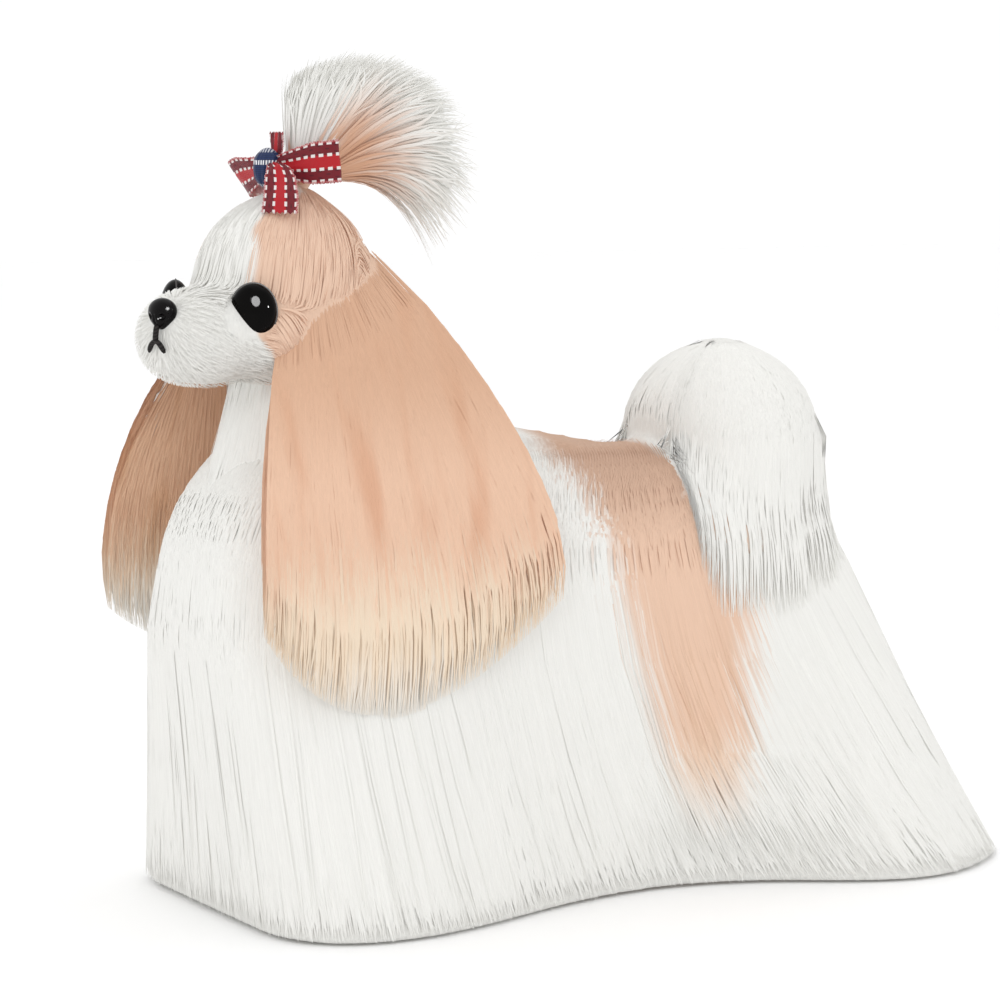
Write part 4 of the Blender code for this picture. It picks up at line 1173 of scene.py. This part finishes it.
class DOG_OT_neck_hair(bpy.types.Operator):
    """The hair that falls over the neck, from under the head onto the coat."""

    bl_idname = "dog.neck_hair"
    bl_label = "Neck hair"

    def execute(self, context):
        rng = np.random.default_rng(40)
        surface = even(mane, -math.pi, math.pi, 0.7)
        u0, v0 = scattered(rng, NECK_STRANDS, 0, 1, 0.0, 0.5)
        tips = np.minimum(v0 + rng.uniform(0.45, 0.75, NECK_STRANDS), 1.15)
        width = context.scene.dog_sizes.hair_width
        hair = comb("hair_neck", surface, rng, (u0, v0), tips, width, NECK_PROFILE, clumps=30, sway=0.006)
        carry(hair, fur("neck_pile", no_marks), "white_pile", "neck")
        return {"FINISHED"}


class DOG_OT_ears(bpy.types.Operator):
    """The long hair of the ears, on their outer and inner sides."""

    bl_idname = "dog.ears"
    bl_label = "Ears"

    def execute(self, context):
        sizes = context.scene.dog_sizes
        for side, flip in (("left", 1), ("right", -1)):
            rng = np.random.default_rng(50 + flip)
            count = sizes.ear_strands
            u0, v0 = scattered(rng, count, 0, 1, 0.0, 0.55)
            v0 = v0 * (rng.random(count) < 0.75) + rng.uniform(0, 0.05, count)
            tips = ragged_tips(rng, v0, (0.55, 0.80), 0.5, 0.34)
            inner = rng.random(count) < INNER_EAR_SHARE
            pieces = []
            for chosen, profile in zip((~inner, inner), EAR_PROFILES):
                roots, ends = (u0[chosen], v0[chosen]), tips[chosen]
                name, width = f"ear_part_{side}", sizes.hair_width
                run = dict(clumps=16, sway=0.018, flip=flip)
                pieces.append(comb(name, ear(side), rng, roots, ends, width, profile, **run))
            hair = join(f"hair_ear_{side}", pieces)
            carry(hair, fur(f"ear_pile_{side}", ear_marks(side)), "peach_pile", f"ear_{side}")
        return {"FINISHED"}


class DOG_OT_tail(bpy.types.Operator):
    """The mop of the tail, over the rump and down its sides."""

    bl_idname = "dog.tail"
    bl_label = "Tail"

    def execute(self, context):
        sizes = context.scene.dog_sizes
        pile = fur("tail_pile", no_marks)
        for side, start in (("left", 0.0), ("right", -math.pi)):
            rng = np.random.default_rng(60 + (side == "left"))
            count = sizes.tail_strands
            surface = even(tail, start - 0.08, start + math.pi + 0.08, 0.6)
            u0, v0 = scattered(rng, count, 0, 1, 0.0, 0.5)
            v0 = np.maximum(np.where(rng.random(count) < 0.4, v0 * 0.1, v0), 0.004)
            tips = ragged_tips(rng, v0, (0.4, 0.7), 0.55, 0.35, 1.3)
            profile = (np.where(v0 < 0.06, *TAIL_ROOT_DEPTHS)[:, None], *TAIL_PROFILE)
            name, width = f"hair_tail_{side}", sizes.hair_width
            run = dict(clumps=20, sway=0.012, rings=8)
            hair = comb(name, surface, rng, (u0, v0), tips, width, profile, **run)
            carry(hair, pile, "white_pile", f"tail_{side}")
        return {"FINISHED"}


class DOG_OT_topknot(bpy.types.Operator):
    """The topknot's plume above the tie."""

    bl_idname = "dog.topknot"
    bl_label = "Topknot"

    def execute(self, context):
        sizes = context.scene.dog_sizes
        rng = np.random.default_rng(70)
        count = sizes.plume_strands
        share = np.sqrt(rng.uniform(0.02, 1.0, count))[:, None]
        whole = 2 * math.pi

        def surface(u, v):
            return plume(0.5 + 0.5 * share * np.cos(u * whole), share * np.sin(u * whole), v)

        turn = rng.uniform(0, whole, count)
        v0 = rng.uniform(0.0, 0.25, count) * (rng.random(count) < 0.4)
        tips = np.where(rng.random(count) < 0.6, rng.uniform(0.88, 1.0, count), rng.uniform(0.55, 0.9, count))
        roots, run = (turn / whole, v0), dict(clumps=18, rings=9)
        width = sizes.hair_width
        hair = comb("hair_topknot", surface, rng, roots, tips, width, PLUME_PROFILE, FLUFFY, **run)
        carry(hair, fur("topknot_pile", plume_marks), "white_pile", "topknot")
        return {"FINISHED"}


def fur_ways(own):
    """(direction, length) of the head's fur at points in the head's own axes."""
    tie = to_head(at(*TIE))
    forward, left, up = own[..., 0], own[..., 1], own[..., 2]
    side = np.sign(left + 1e-9)
    to_tie = unit(tie + (0, 0, 0.004) - own)
    muzzle = smooth_step((forward - 0.033 - up * 0.25) / 0.010) * smooth_step((0.004 - up) / 0.008)
    chin = smooth_step((-0.022 - up) / 0.006)
    away = (own - np.array(NOSE_CENTRE)) * (0.35, 1.3, 0.7)
    away = unit(away + np.stack([-0.004 + 0 * up, side * 0.003, -0.007 + 0 * up], -1))
    down = unit(np.stack([-0.45 + 0 * up, side * 0.25, -1.0 + 0 * up], -1))
    cheek = smooth_step((-0.004 - up + 0.25 * (forward - 0.02)) / 0.008) * (1 - muzzle)
    rear = smooth_step((-0.004 - forward) / 0.010) * smooth_step((0.022 - up) / 0.010)
    lower = np.clip(np.maximum(cheek, rear) + chin, 0, 1)
    way = to_tie * (1 - lower)[..., None] + down * lower[..., None]
    way = unit(way * (1 - muzzle)[..., None] + away * muzzle[..., None])
    length = LONG_FUR * (1 - lower) + LOWER_FUR * lower
    return way, length * (1 - muzzle) + MUZZLE_FUR * muzzle


class DOG_OT_head_fur(bpy.types.Operator):
    """The fur of the head: short on the muzzle, combed up to the tie over the forehead."""

    bl_idname = "dog.head_fur"
    bl_label = "Head fur"

    def execute(self, context):
        sizes = context.scene.dog_sizes
        pile = fur("face_pile", head_marks)
        for name, count, spread, width, rings in (
            ("fur_head", sizes.face_strands, ALL_ROUND, sizes.hair_width * 0.8, 6),
            ("fur_muzzle", sizes.muzzle_strands, MUZZLE_CAP, sizes.hair_width * 0.45, 5),
        ):
            hair = self.grow(name, count, spread, width, rings)
            carry(hair, pile, "white_pile", "head")
        return {"FINISHED"}

    def grow(self, name, count, spread, width, rings):
        """Strands rooted within a spread of the way to the muzzle and combed step by step."""
        rng = np.random.default_rng(80 + count)
        k = np.arange(count) + 0.5
        polar, turn = np.arccos(1 - spread * k / count), GOLDEN_TURN * k
        aim = unit(head_way(FUR_AIM))
        side = unit(np.cross(aim, (0, 0, 1.0)))
        ring = np.cos(turn)[:, None] * side + np.sin(turn)[:, None] * np.cross(side, aim)
        rays = np.cos(polar)[:, None] * aim + np.sin(polar)[:, None] * ring
        rays = unit(rays + rng.normal(0, 0.015, rays.shape))
        place = head_points(rays, 0.0)
        _, length = fur_ways(to_head(place))
        chosen = length > 0.0075 if spread == ALL_ROUND else length < 0.016
        place, length = place[chosen], length[chosen]
        length = length * rng.uniform(0.75, 1.15, len(length))
        short = np.clip((LONG_FUR - length) / 0.018, 0, 1)
        share = np.linspace(0, 1, rings)[None]
        lifts = share**0.7 * (0.0011 + 0.0002 * short)[:, None] - 0.0011
        spine = [place]
        for _ in range(1, rings):
            here = spine[-1]
            way, _ = fur_ways(to_head(here))
            moved = here + head_way(way) * (length / (rings - 1))[:, None]
            close = np.linalg.norm(here - at(*TIE), axis=1) < 0.009
            moved = np.where(close[:, None], here + (moved - here) * 0.35, moved)
            moved = np.where(self.over_eye(moved)[:, None], here + (moved - here) * 0.04, moved)
            spine.append(to_surface(moved, 0.0))
        spine = np.stack(spine, 1)
        normal = head_normal(spine)
        near = np.exp(-((np.linalg.norm(spine - at(*TIE), axis=2) / 0.011) ** 2))
        spine = spine + normal * (lifts + near * 0.0034)[..., None]
        keep = self.clear(spine)
        spine, normal, short = spine[keep], normal[keep], short[keep]
        across = unit(np.cross(unit(np.gradient(spine, axis=1)), normal))
        taper = np.minimum(np.minimum(0.6 + share * 2, 1), 0.10 + 0.90 * (1 - share) / 0.5)
        size = width * (1 - 0.2 * short)[:, None] * taper
        tone = strand_tones(rng, len(spine))
        rays = unit(spine[:, 0] - from_head(HEAD_MIDDLE))
        around = np.arctan2(rays[:, 0], -rays[:, 1]) / (2 * math.pi) + 0.5
        patch = on_patch(around, np.arccos(rays[:, 2]) / math.pi)
        roll = rng.normal(0, 0.1, len(spine))
        return strand_mesh(name, spine, across, normal, size, tone, patch, roll)

    @staticmethod
    def over_eye(points, spread=0.97):
        """Whether points lie in front of an eye."""
        own = to_head(points)
        found = np.zeros(own.shape[:-1], bool)
        for sign in (1, -1):
            centre, axes = eye_frame(sign)
            out, wide, up = np.moveaxis((own - centre) @ axes.T, -1, 0)
            found |= (np.hypot(wide / EYE_RADII[1], up / EYE_RADII[2]) < spread) & (out > -0.004)
        return found

    @staticmethod
    def clear(spine):
        """The strands that stay off the eyes, the nose and the mouth."""
        own = to_head(spine)
        keep = ~DOG_OT_head_fur.over_eye(spine[:, 0])
        nose = (own - np.array(NOSE_CENTRE)) / (np.array(NOSE_RADII) + 0.0002)
        keep &= (np.linalg.norm(nose, axis=-1) > 1).all(1)
        on_line = (np.abs(own[..., 1]) < 0.0012) & (own[..., 0] > 0.050) & (own[..., 2] < -0.010)
        return keep & ~on_line[:, 1:].any(1)


class DOG_OT_features(bpy.types.Operator):
    """The glossy eyes and nose and the stitched mouth."""

    bl_idname = "dog.features"
    bl_label = "Eyes, nose and mouth"

    def execute(self, context):
        gloss = Paint("eye_gloss", roughness=0.05, Specular_IOR_Level=0.06)
        gloss.finish(gloss.mix(gloss.grain(60), (0.0012, 0.0010, 0.0010), (0.003, 0.0025, 0.0022)))
        rim = Paint("eye_rim", roughness=0.55)
        worn = rim.grain(500)
        rim.finish(rim.mix(worn, (0.006, 0.004, 0.0035), (0.020, 0.011, 0.008)), worn)
        for side, sign in (("left", 1), ("right", -1)):
            centre, axes = eye_frame(sign)

            def placed(points):
                return from_head(centre + self.trimmed(points, sign) @ axes)

            eye = ball(f"eye_{side}_dome", lambda points: placed(points * EYE_RADII))
            carry(eye, gloss.material, "black_gloss", f"eye_{side}")
            turns = circle(72)
            ring = np.stack([0 * turns, np.cos(turns), np.sin(turns)], 1) * EYE_RADII * LID_SPREAD
            lid = hoop(f"eye_{side}_lid", placed(ring - (LID_SINK, 0, 0)), LID_RADIUS)
            carry(lid, rim.material, "black_gloss")
        self.nose()
        self.mouth()
        return {"FINISHED"}

    @staticmethod
    def trimmed(points, sign):
        """Points in an eye's own axes, drawn back to the straight edge of the cheek's fur."""
        edge = np.array([0, -EYE_EDGE[0] * sign, -EYE_EDGE[1]])
        past = np.maximum(points @ edge - EYE_EDGE_REACH, 0)
        return points - past[:, None] * (edge + (0.8, 0, 0))

    @staticmethod
    def nose():
        """A rounded triangle with two nostrils and a groove between them."""

        def shape(points):
            forward, left, up = points.T
            left = left * (1 + 0.16 * smooth_step((up + 0.2) / 0.9) - 0.30 * smooth_step((-up - 0.1) / 0.9))
            dent = 0.16 * bump(left / 0.07) * smooth_step((-up + 0.1) / 0.3)
            for sign in (1, -1):
                beside = left - sign * 0.50
                gap = np.hypot(beside / 0.24, (up + 0.16 - 0.10 * sign * beside) / 0.20)
                dent += 0.42 * bump(gap**2)
            length = 1 - dent * (forward > 0)
            own = np.stack([forward * length, left, up], 1) * NOSE_RADII
            return from_head(own + NOSE_CENTRE)

        paint = Paint("nose_gloss", roughness=0.14, Specular_IOR_Level=0.10)
        grain = paint.grain(2600.0, 1.0)
        colour = paint.mix(grain, (0.0015, 0.0012, 0.0012), (0.005, 0.004, 0.004))
        paint.finish(colour, grain, distance=0.0001)
        carry(ball("nose_leather", shape, detail=5), paint.material, "black_gloss", "nose")

    @staticmethod
    def mouth():
        """The line from the nose to the lip and the two short lips, in black thread."""

        def on_head(left, up):
            reach = 0.09
            for _ in range(60):
                reach -= 0.8 * (head_distance(from_head((reach, left, up))) - MOUTH_LIFT)
            return from_head((reach, left, up))

        line = [on_head(0, up) for up in np.linspace(PHILTRUM_TOP, LIP_HEIGHT, 12)]
        pieces = [tube("philtrum", line, PHILTRUM_RADIUS)]
        for sign in (1, -1):
            lip = []
            for share in np.linspace(-0.12, 1, 12):
                lip.append(on_head(sign * share * LIP_REACH, LIP_HEIGHT + LIP_RISE - LIP_CURVE * share**2))
            pieces.append(tube("lip", lip, MOUTH_RADIUS))
        paint = Paint("black_thread", roughness=0.5, Specular_IOR_Level=0.15)
        station, left, height = paint.place()
        twist = (station * 3000 + left * 2200 + height * 5200).wave()
        colour = paint.mix(twist, (0.006, 0.005, 0.005), (0.03, 0.026, 0.024))
        paint.finish(colour, twist, strength=0.4, distance=0.0002)
        carry(join("mouth_thread", pieces), paint.material, "black_gloss", "mouth")


def wing(sign, out, ahead, up):
    """A point of the bow's wing on one side: out from the knot, ahead of it and up."""
    sweep = math.radians(BOW_SWEEP)
    forward = KNOT_CENTRE[0] - out * math.sin(sweep) + ahead * math.cos(sweep)
    left = out * math.cos(sweep) + ahead * math.sin(sweep)
    return from_head((forward, sign * left, KNOT_CENTRE[2] + up))


def ribbon(name, path, across, widths, pinked=False, face=1):
    """(piece, length, area, edges) of a ribbon along a path, with its lining on the other side.

    Its weave map runs from 0 to 1 over the width of the face and from 2 to 3 over the lining's."""
    path, across = np.array(path, float), unit(np.array(across, float))
    run = np.concatenate([[0], np.cumsum(np.linalg.norm(np.diff(path, axis=0), axis=1))])
    count = max(int(run[-1] / RIBBON_STEP), 8)
    even_run = np.linspace(0, run[-1], count)
    path = np.stack([np.interp(even_run, run, path[:, k]) for k in range(3)], 1)
    across = unit(np.stack([np.interp(even_run, run, across[:, k]) for k in range(3)], 1))
    width = np.interp(even_run, run, widths)
    for _ in range(6):
        path[1:-1] = (path[:-2] + path[1:-1] * 2 + path[2:]) / 4
    flat = unit(np.cross(unit(np.gradient(path, axis=0)), across))
    shares = np.concatenate([[-0.5], np.linspace(-0.46, 0.46, 13), [0.5]])
    scale = np.ones((count, len(shares)))
    scale[:, (0, -1)] += EDGE_NOTCH * np.where(np.arange(count) % 2, -1, 1)[:, None]
    ripple = 0.00025 * np.sin(even_run[:, None] * 420 + shares[None] * 5)
    folds = 0.0011 * (1 - width / RIBBON_WIDTH)[:, None] * np.sin(shares[None] * 19)
    points = path[:, None] + across[:, None] * (width[:, None] * shares * scale)[..., None]
    points = points + flat[:, None] * (ripple + folds)[..., None]
    if pinked:
        teeth = 0.0009 * (np.arange(len(shares)) % 2)
        points[-1] += unit(path[-1] - path[-2]) * teeth[:, None]
    thick = flat[:, None] * (RIBBON_HALF_THICK * face)
    item = wall(name, points + thick, points - thick)
    places = np.broadcast_arrays(even_run[:, None] / RIBBON_WIDTH, shares[None] + 0.5)
    places = np.stack(places, -1).reshape(-1, 2)
    corners = np.empty(len(item.data.loops), np.int32)
    item.data.loops.foreach_get("vertex_index", corners)
    along, aside = places[corners % len(places)].T
    behind = corners >= len(places)
    span = max(even_run[-1] / RIBBON_WIDTH, 1.0)
    baked = np.stack([(aside + behind * 1.05) / 2.1, along / span * 0.98 + 0.01], 1)
    for key, values in (("OFBake", baked), ("weave", np.stack([aside + 2.0 * behind, along], 1))):
        item.data.uv_layers.new(name=key).data.foreach_set("uv", values.ravel())
    return item, float(even_run[-1]), float(np.trapz(width, even_run)), (points[:, 0], points[:, -1])


def picot_tree():
    """Geometry nodes: knots of thread at even steps along the edges they are given."""
    tree = bpy.data.node_groups.new("picots", "GeometryNodeTree")
    face = tree.interface
    face.new_socket("Edges", in_out="INPUT", socket_type="NodeSocketGeometry")
    for name, size in PICOT_SIZES.items():
        face.new_socket(name, in_out="INPUT", socket_type="NodeSocketFloat").default_value = size
    face.new_socket("Thread", in_out="INPUT", socket_type="NodeSocketMaterial")
    face.new_socket("Picots", in_out="OUTPUT", socket_type="NodeSocketGeometry")

    def node(kind, settings=None, **sockets):
        made = tree.nodes.new(kind)
        for key, value in (settings or {}).items():
            setattr(made, key, value)
        for key, value in sockets.items():
            feed(tree, value, made.inputs[key])
        return made.outputs[0]

    given = tree.nodes.new("NodeGroupInput").outputs
    curve = node("GeometryNodeMeshToCurve", Mesh=given["Edges"])
    steps = node("GeometryNodeResampleCurve", {"mode": "LENGTH"}, Curve=curve, Length=given["Step"])
    tangent = node("GeometryNodeInputTangent")
    lean = node("FunctionNodeAlignRotationToVector", {"axis": "X"}, Vector=tangent)
    bead = node("GeometryNodeMeshIcoSphere", Radius=given["Radius"], Subdivisions=2)
    smooth = node("GeometryNodeSetShadeSmooth", Geometry=bead)
    knots = dict(Points=steps, Instance=smooth, Rotation=lean, Scale=PICOT_SCALE)
    real = node("GeometryNodeRealizeInstances", Geometry=node("GeometryNodeInstanceOnPoints", **knots))
    coloured = node("GeometryNodeSetMaterial", Geometry=real, Material=given["Thread"])
    tree.links.new(coloured, tree.nodes.new("NodeGroupOutput").inputs[0])
    return tree


def picots(edges, thread):
    """The thread knots along the edges of the bow's ribbons."""
    points, lines = [], []
    for edge in edges:
        lines += [(len(points) + k, len(points) + k + 1) for k in range(len(edge) - 1)]
        points += [tuple(point) for point in edge]
    mesh = bpy.data.meshes.new("ribbon_picots")
    mesh.from_pydata(points, lines, [])
    item = bpy.data.objects.new("ribbon_picots", mesh)
    bpy.context.scene.collection.objects.link(item)
    made = item.modifiers.new("picots", "NODES")
    made.node_group = picot_tree()
    values = dict(PICOT_SIZES, Thread=thread)
    for socket in made.node_group.interface.items_tree:
        if socket.in_out == "INPUT" and socket.name in values:
            made[socket.identifier] = values[socket.name]
    return evaluated_copy(item)


class DOG_OT_bow(bpy.types.Operator):
    """The plaid bow: two loops, a hanging tail, a standing tail and the knot."""

    bl_idname = "dog.bow"
    bl_label = "Bow"

    def execute(self, context):
        plaid = self.plaid()
        edges = []
        for side, sign, reach, rise, lean in LOOPS:
            path, across, widths = [], [], []
            for t in np.linspace(-0.94 * math.pi, 0.94 * math.pi, 60):
                share = 0.53 + 0.47 * math.cos(t)
                ahead = LOOP_DEPTH * math.sin(t) * (0.35 + 0.65 * share)
                path.append(wing(sign, reach * share, ahead, rise * share))
                across.append(wing(sign, 0, lean * share, 1) - wing(sign, 0, 0, 0))
                widths.append(RIBBON_WIDTH * (0.42 + 0.58 * min(1, 1.5 * share)))
            edges += self.strip(f"loop_{side}", path, across, widths, plaid, f"bow_loop_{side}", False, -sign)
        for side, sign, places in ENDS:
            given = np.array(places)
            share, marks = np.linspace(0, 1, 30), np.linspace(0, 1, len(given))
            fine = np.stack([np.interp(share, marks, column) for column in given.T], 1)
            path = [wing(sign, *row[:3]) for row in fine]
            across = [wing(sign, 1, 0.1, 0) - wing(sign, 0, 0, 0)] * len(path)
            edges += self.strip(f"tail_end_{side}", path, across, fine[:, 3], plaid, f"bow_tail_{side}", True)
        self.knot()
        thread = Paint("picot_thread", roughness=0.55, Specular_IOR_Level=0.25)
        share = thread.grain(900).steps(0.35, 0.65)
        thread.finish(thread.mix(share, (0.40, 0.02, 0.03), (0.66, 0.40, 0.40)))
        carry(picots(edges, thread.material), thread.material, "red_ribbon")
        return {"FINISHED"}

    @staticmethod
    def strip(name, path, across, widths, plaid, node, pinked=False, face=1):
        item, run, area, edges = ribbon(f"ribbon_{name}", path, across, widths, pinked, face)
        carry(item, plaid, "red_ribbon", node)
        flat = (max(area / run, LEAST_FLAT), max(run, LEAST_FLAT))
        return edges

    @staticmethod
    def plaid():
        """Satin red, dark red and bright red bands between dashed white lines, on a pale lining."""
        paint = Paint("red_plaid", roughness=0.40, Specular_IOR_Level=0.30)
        u, v, _ = paint.split(paint.node("UVMap", {"uv_map": "weave"}))
        lining = u.steps(1.49, 1.51)
        across = u - lining * 2.0
        ribs, weft = (v * 340.0).wave(), (across * 260.0).wave()
        lines = abs(across - 0.33)
        for line in (0.67, 0.04, 0.96):
            lines = lines.least(abs(across - line))
        dashed = lines.steps(0.042, 0.034) * (v * 29.0).sine().steps(-0.25, -0.05)
        dark = abs(across - 0.5).steps(0.165, 0.175)
        colour = paint.mix(dark, BRIGHT_RED, DARK_RED)
        figure = (v * 14.5).sine() * (across * 40.0).sine()
        colour = paint.mix(dark * figure.steps(0.55, 0.75) * 0.6, colour, FIGURE_RED)
        colour = paint.mix(dashed, colour, DASH_WHITE)
        colour = paint.mix(abs(across - 0.5).steps(0.455, 0.475) * 0.5, colour, EDGE_RED)
        colour = paint.mix(lining, colour, paint.mix(dashed * 0.7, LINING_PINK, LINING_DASH))
        colour = paint.shade(0.88 + ribs * 0.12, colour)
        return paint.finish(colour, ribs * 0.7 + weft * 0.3, strength=0.35, distance=0.00012)

    @staticmethod
    def knot():
        """The navy wrap round the middle of the bow, with its upright folds."""

        def shape(points):
            x, y, z = points.T
            turn, upright = np.arctan2(x, y), np.hypot(x, y)
            folds = 0.035 * np.sin(turn * 9) * upright + 0.02 * np.sin(turn * 17 + z * 3) * upright
            grow = (1 + folds) * (1 + 0.10 * np.exp(-((z / 0.75) ** 8)) * upright)
            shaped = np.stack([x * grow, y * grow, np.sign(z) * np.abs(z) ** 0.85], 1)
            return shaped * np.array(KNOT_RADII)[[1, 0, 2]] + from_head(KNOT_CENTRE)

        paint = Paint("blue_ribbon_wrap", roughness=0.42, Specular_IOR_Level=0.3)
        station, left, height = paint.place()
        up = height - float(from_head(KNOT_CENTRE)[2])
        ribs, weave = ((station + left) * 9000.0).wave(), (height * 8000.0).wave()
        line = abs(up - 0.0022).steps(0.0010, 0.0007)
        dashes = ((left - station) * 4200.0).sine().steps(-0.3, 0.1)
        rims = abs(up).steps(0.0058, 0.0064)
        colour = paint.mix(weave, (0.006, 0.016, 0.062), (0.012, 0.028, 0.10))
        colour = paint.mix(line * dashes, colour, (0.78, 0.78, 0.80))
        colour = paint.mix(rims * dashes, colour, (0.45, 0.46, 0.50))
        paint.finish(colour, ribs * 0.6 + weave * 0.4, strength=0.35, distance=0.0001)
        carry(ball("bow_knot_wrap", shape, detail=5), paint.material, "blue_ribbon", "bow_knot")


class DOG_OT_stage(bpy.types.Operator):
    """The pale floor, the soft studio light and the camera at the photograph's angle."""

    bl_idname = "dog.stage"
    bl_label = "Stage"

    def execute(self, context):
        scene = context.scene
        corners = [(-6, -6, 0), (6, -6, 0), (6, 6, 0), (-6, 6, 0)]
        floor = mesh_object("floor", corners, [(0, 1, 2, 3)], smooth=False)
        paint = Paint("pale_floor", roughness=0.7)
        colour = paint.mix(paint.grain(3), (0.985, 0.985, 0.985), (0.995, 0.995, 0.995))
        floor.data.materials.append(paint.finish(colour))
        scene.world = bpy.data.worlds.new("studio")
        scene.world.use_nodes = True
        background = scene.world.node_tree.nodes["Background"]
        background.inputs["Color"].default_value = (1, 1, 1, 1)
        background.inputs["Strength"].default_value = WORLD_LIGHT
        glossy = bpy.data.collections.new("glossy")
        for item in scene.objects:
            if item.name.startswith(("eye_", "nose_")):
                glossy.objects.link(item)
        for name, place, aim, size, power, shape, glints in LAMPS:
            light = bpy.data.lights.new(name, "AREA")
            light.energy, light.size, light.shape = power, size, shape
            lamp = bpy.data.objects.new(name, light)
            scene.collection.objects.link(lamp)
            lamp.location = place
            lamp.rotation_euler = (Vector(aim) - Vector(place)).to_track_quat("-Z", "Y").to_euler()
            if glints:
                lamp.visible_diffuse = False
                lamp.light_linking.receiver_collection = glossy
        turn, rise = math.radians(VIEW_TURN), math.radians(VIEW_RISE)
        back = Vector((math.sin(turn) * math.cos(rise), -math.cos(turn) * math.cos(rise), math.sin(rise)))
        camera = bpy.data.objects.new("camera", bpy.data.cameras.new("camera"))
        scene.collection.objects.link(camera)
        camera.data.lens, camera.data.sensor_width = VIEW_LENS, 36
        camera.location = Vector(VIEW_AIM) + back * VIEW_DISTANCE
        camera.rotation_euler = back.to_track_quat("Z", "Y").to_euler()
        scene.camera = camera
        scene.view_settings.view_transform = "Standard"
        scene.cycles.adaptive_threshold, scene.cycles.adaptive_min_samples = RENDER_NOISE, RENDER_LEAST
        return {"FINISHED"}


class DOG_PT_panel(bpy.types.Panel):
    """The dog's pieces, in the order they are made."""

    bl_idname = "DOG_PT_panel"
    bl_label = "Shih tzu"
    bl_space_type = "VIEW_3D"
    bl_region_type = "UI"
    bl_category = "Shih Tzu"

    def draw(self, context):
        for group in (context.scene.dog_sizes, context.scene.dog_finish):
            for name in group.__annotations__:
                self.layout.prop(group, name)
        for operator in OPERATORS:
            self.layout.operator(operator.bl_idname)


OPERATORS = (
    DOG_OT_skin,
    DOG_OT_coat,
    DOG_OT_neck_hair,
    DOG_OT_ears,
    DOG_OT_tail,
    DOG_OT_topknot,
    DOG_OT_head_fur,
    DOG_OT_features,
    DOG_OT_bow,
    DOG_OT_stage,
)
CLASSES = (Finish, Sizes, *OPERATORS, DOG_PT_panel)


def register():
    for item in CLASSES:
        bpy.utils.register_class(item)
    bpy.types.Scene.dog_sizes = PointerProperty(type=Sizes)
    bpy.types.Scene.dog_finish = PointerProperty(type=Finish)


def unregister():
    del bpy.types.Scene.dog_sizes
    del bpy.types.Scene.dog_finish
    for item in reversed(CLASSES):
        bpy.utils.unregister_class(item)


def main():
    register()
    bpy.ops.dog.skin()
    bpy.ops.dog.coat()
    bpy.ops.dog.neck_hair()
    bpy.ops.dog.ears()
    bpy.ops.dog.tail()
    bpy.ops.dog.topknot()
    bpy.ops.dog.head_fur()
    bpy.ops.dog.features()
    bpy.ops.dog.bow()
    bpy.ops.dog.stage()
    bpy.context.view_layer.update()


if __name__ == "__main__":
    main()
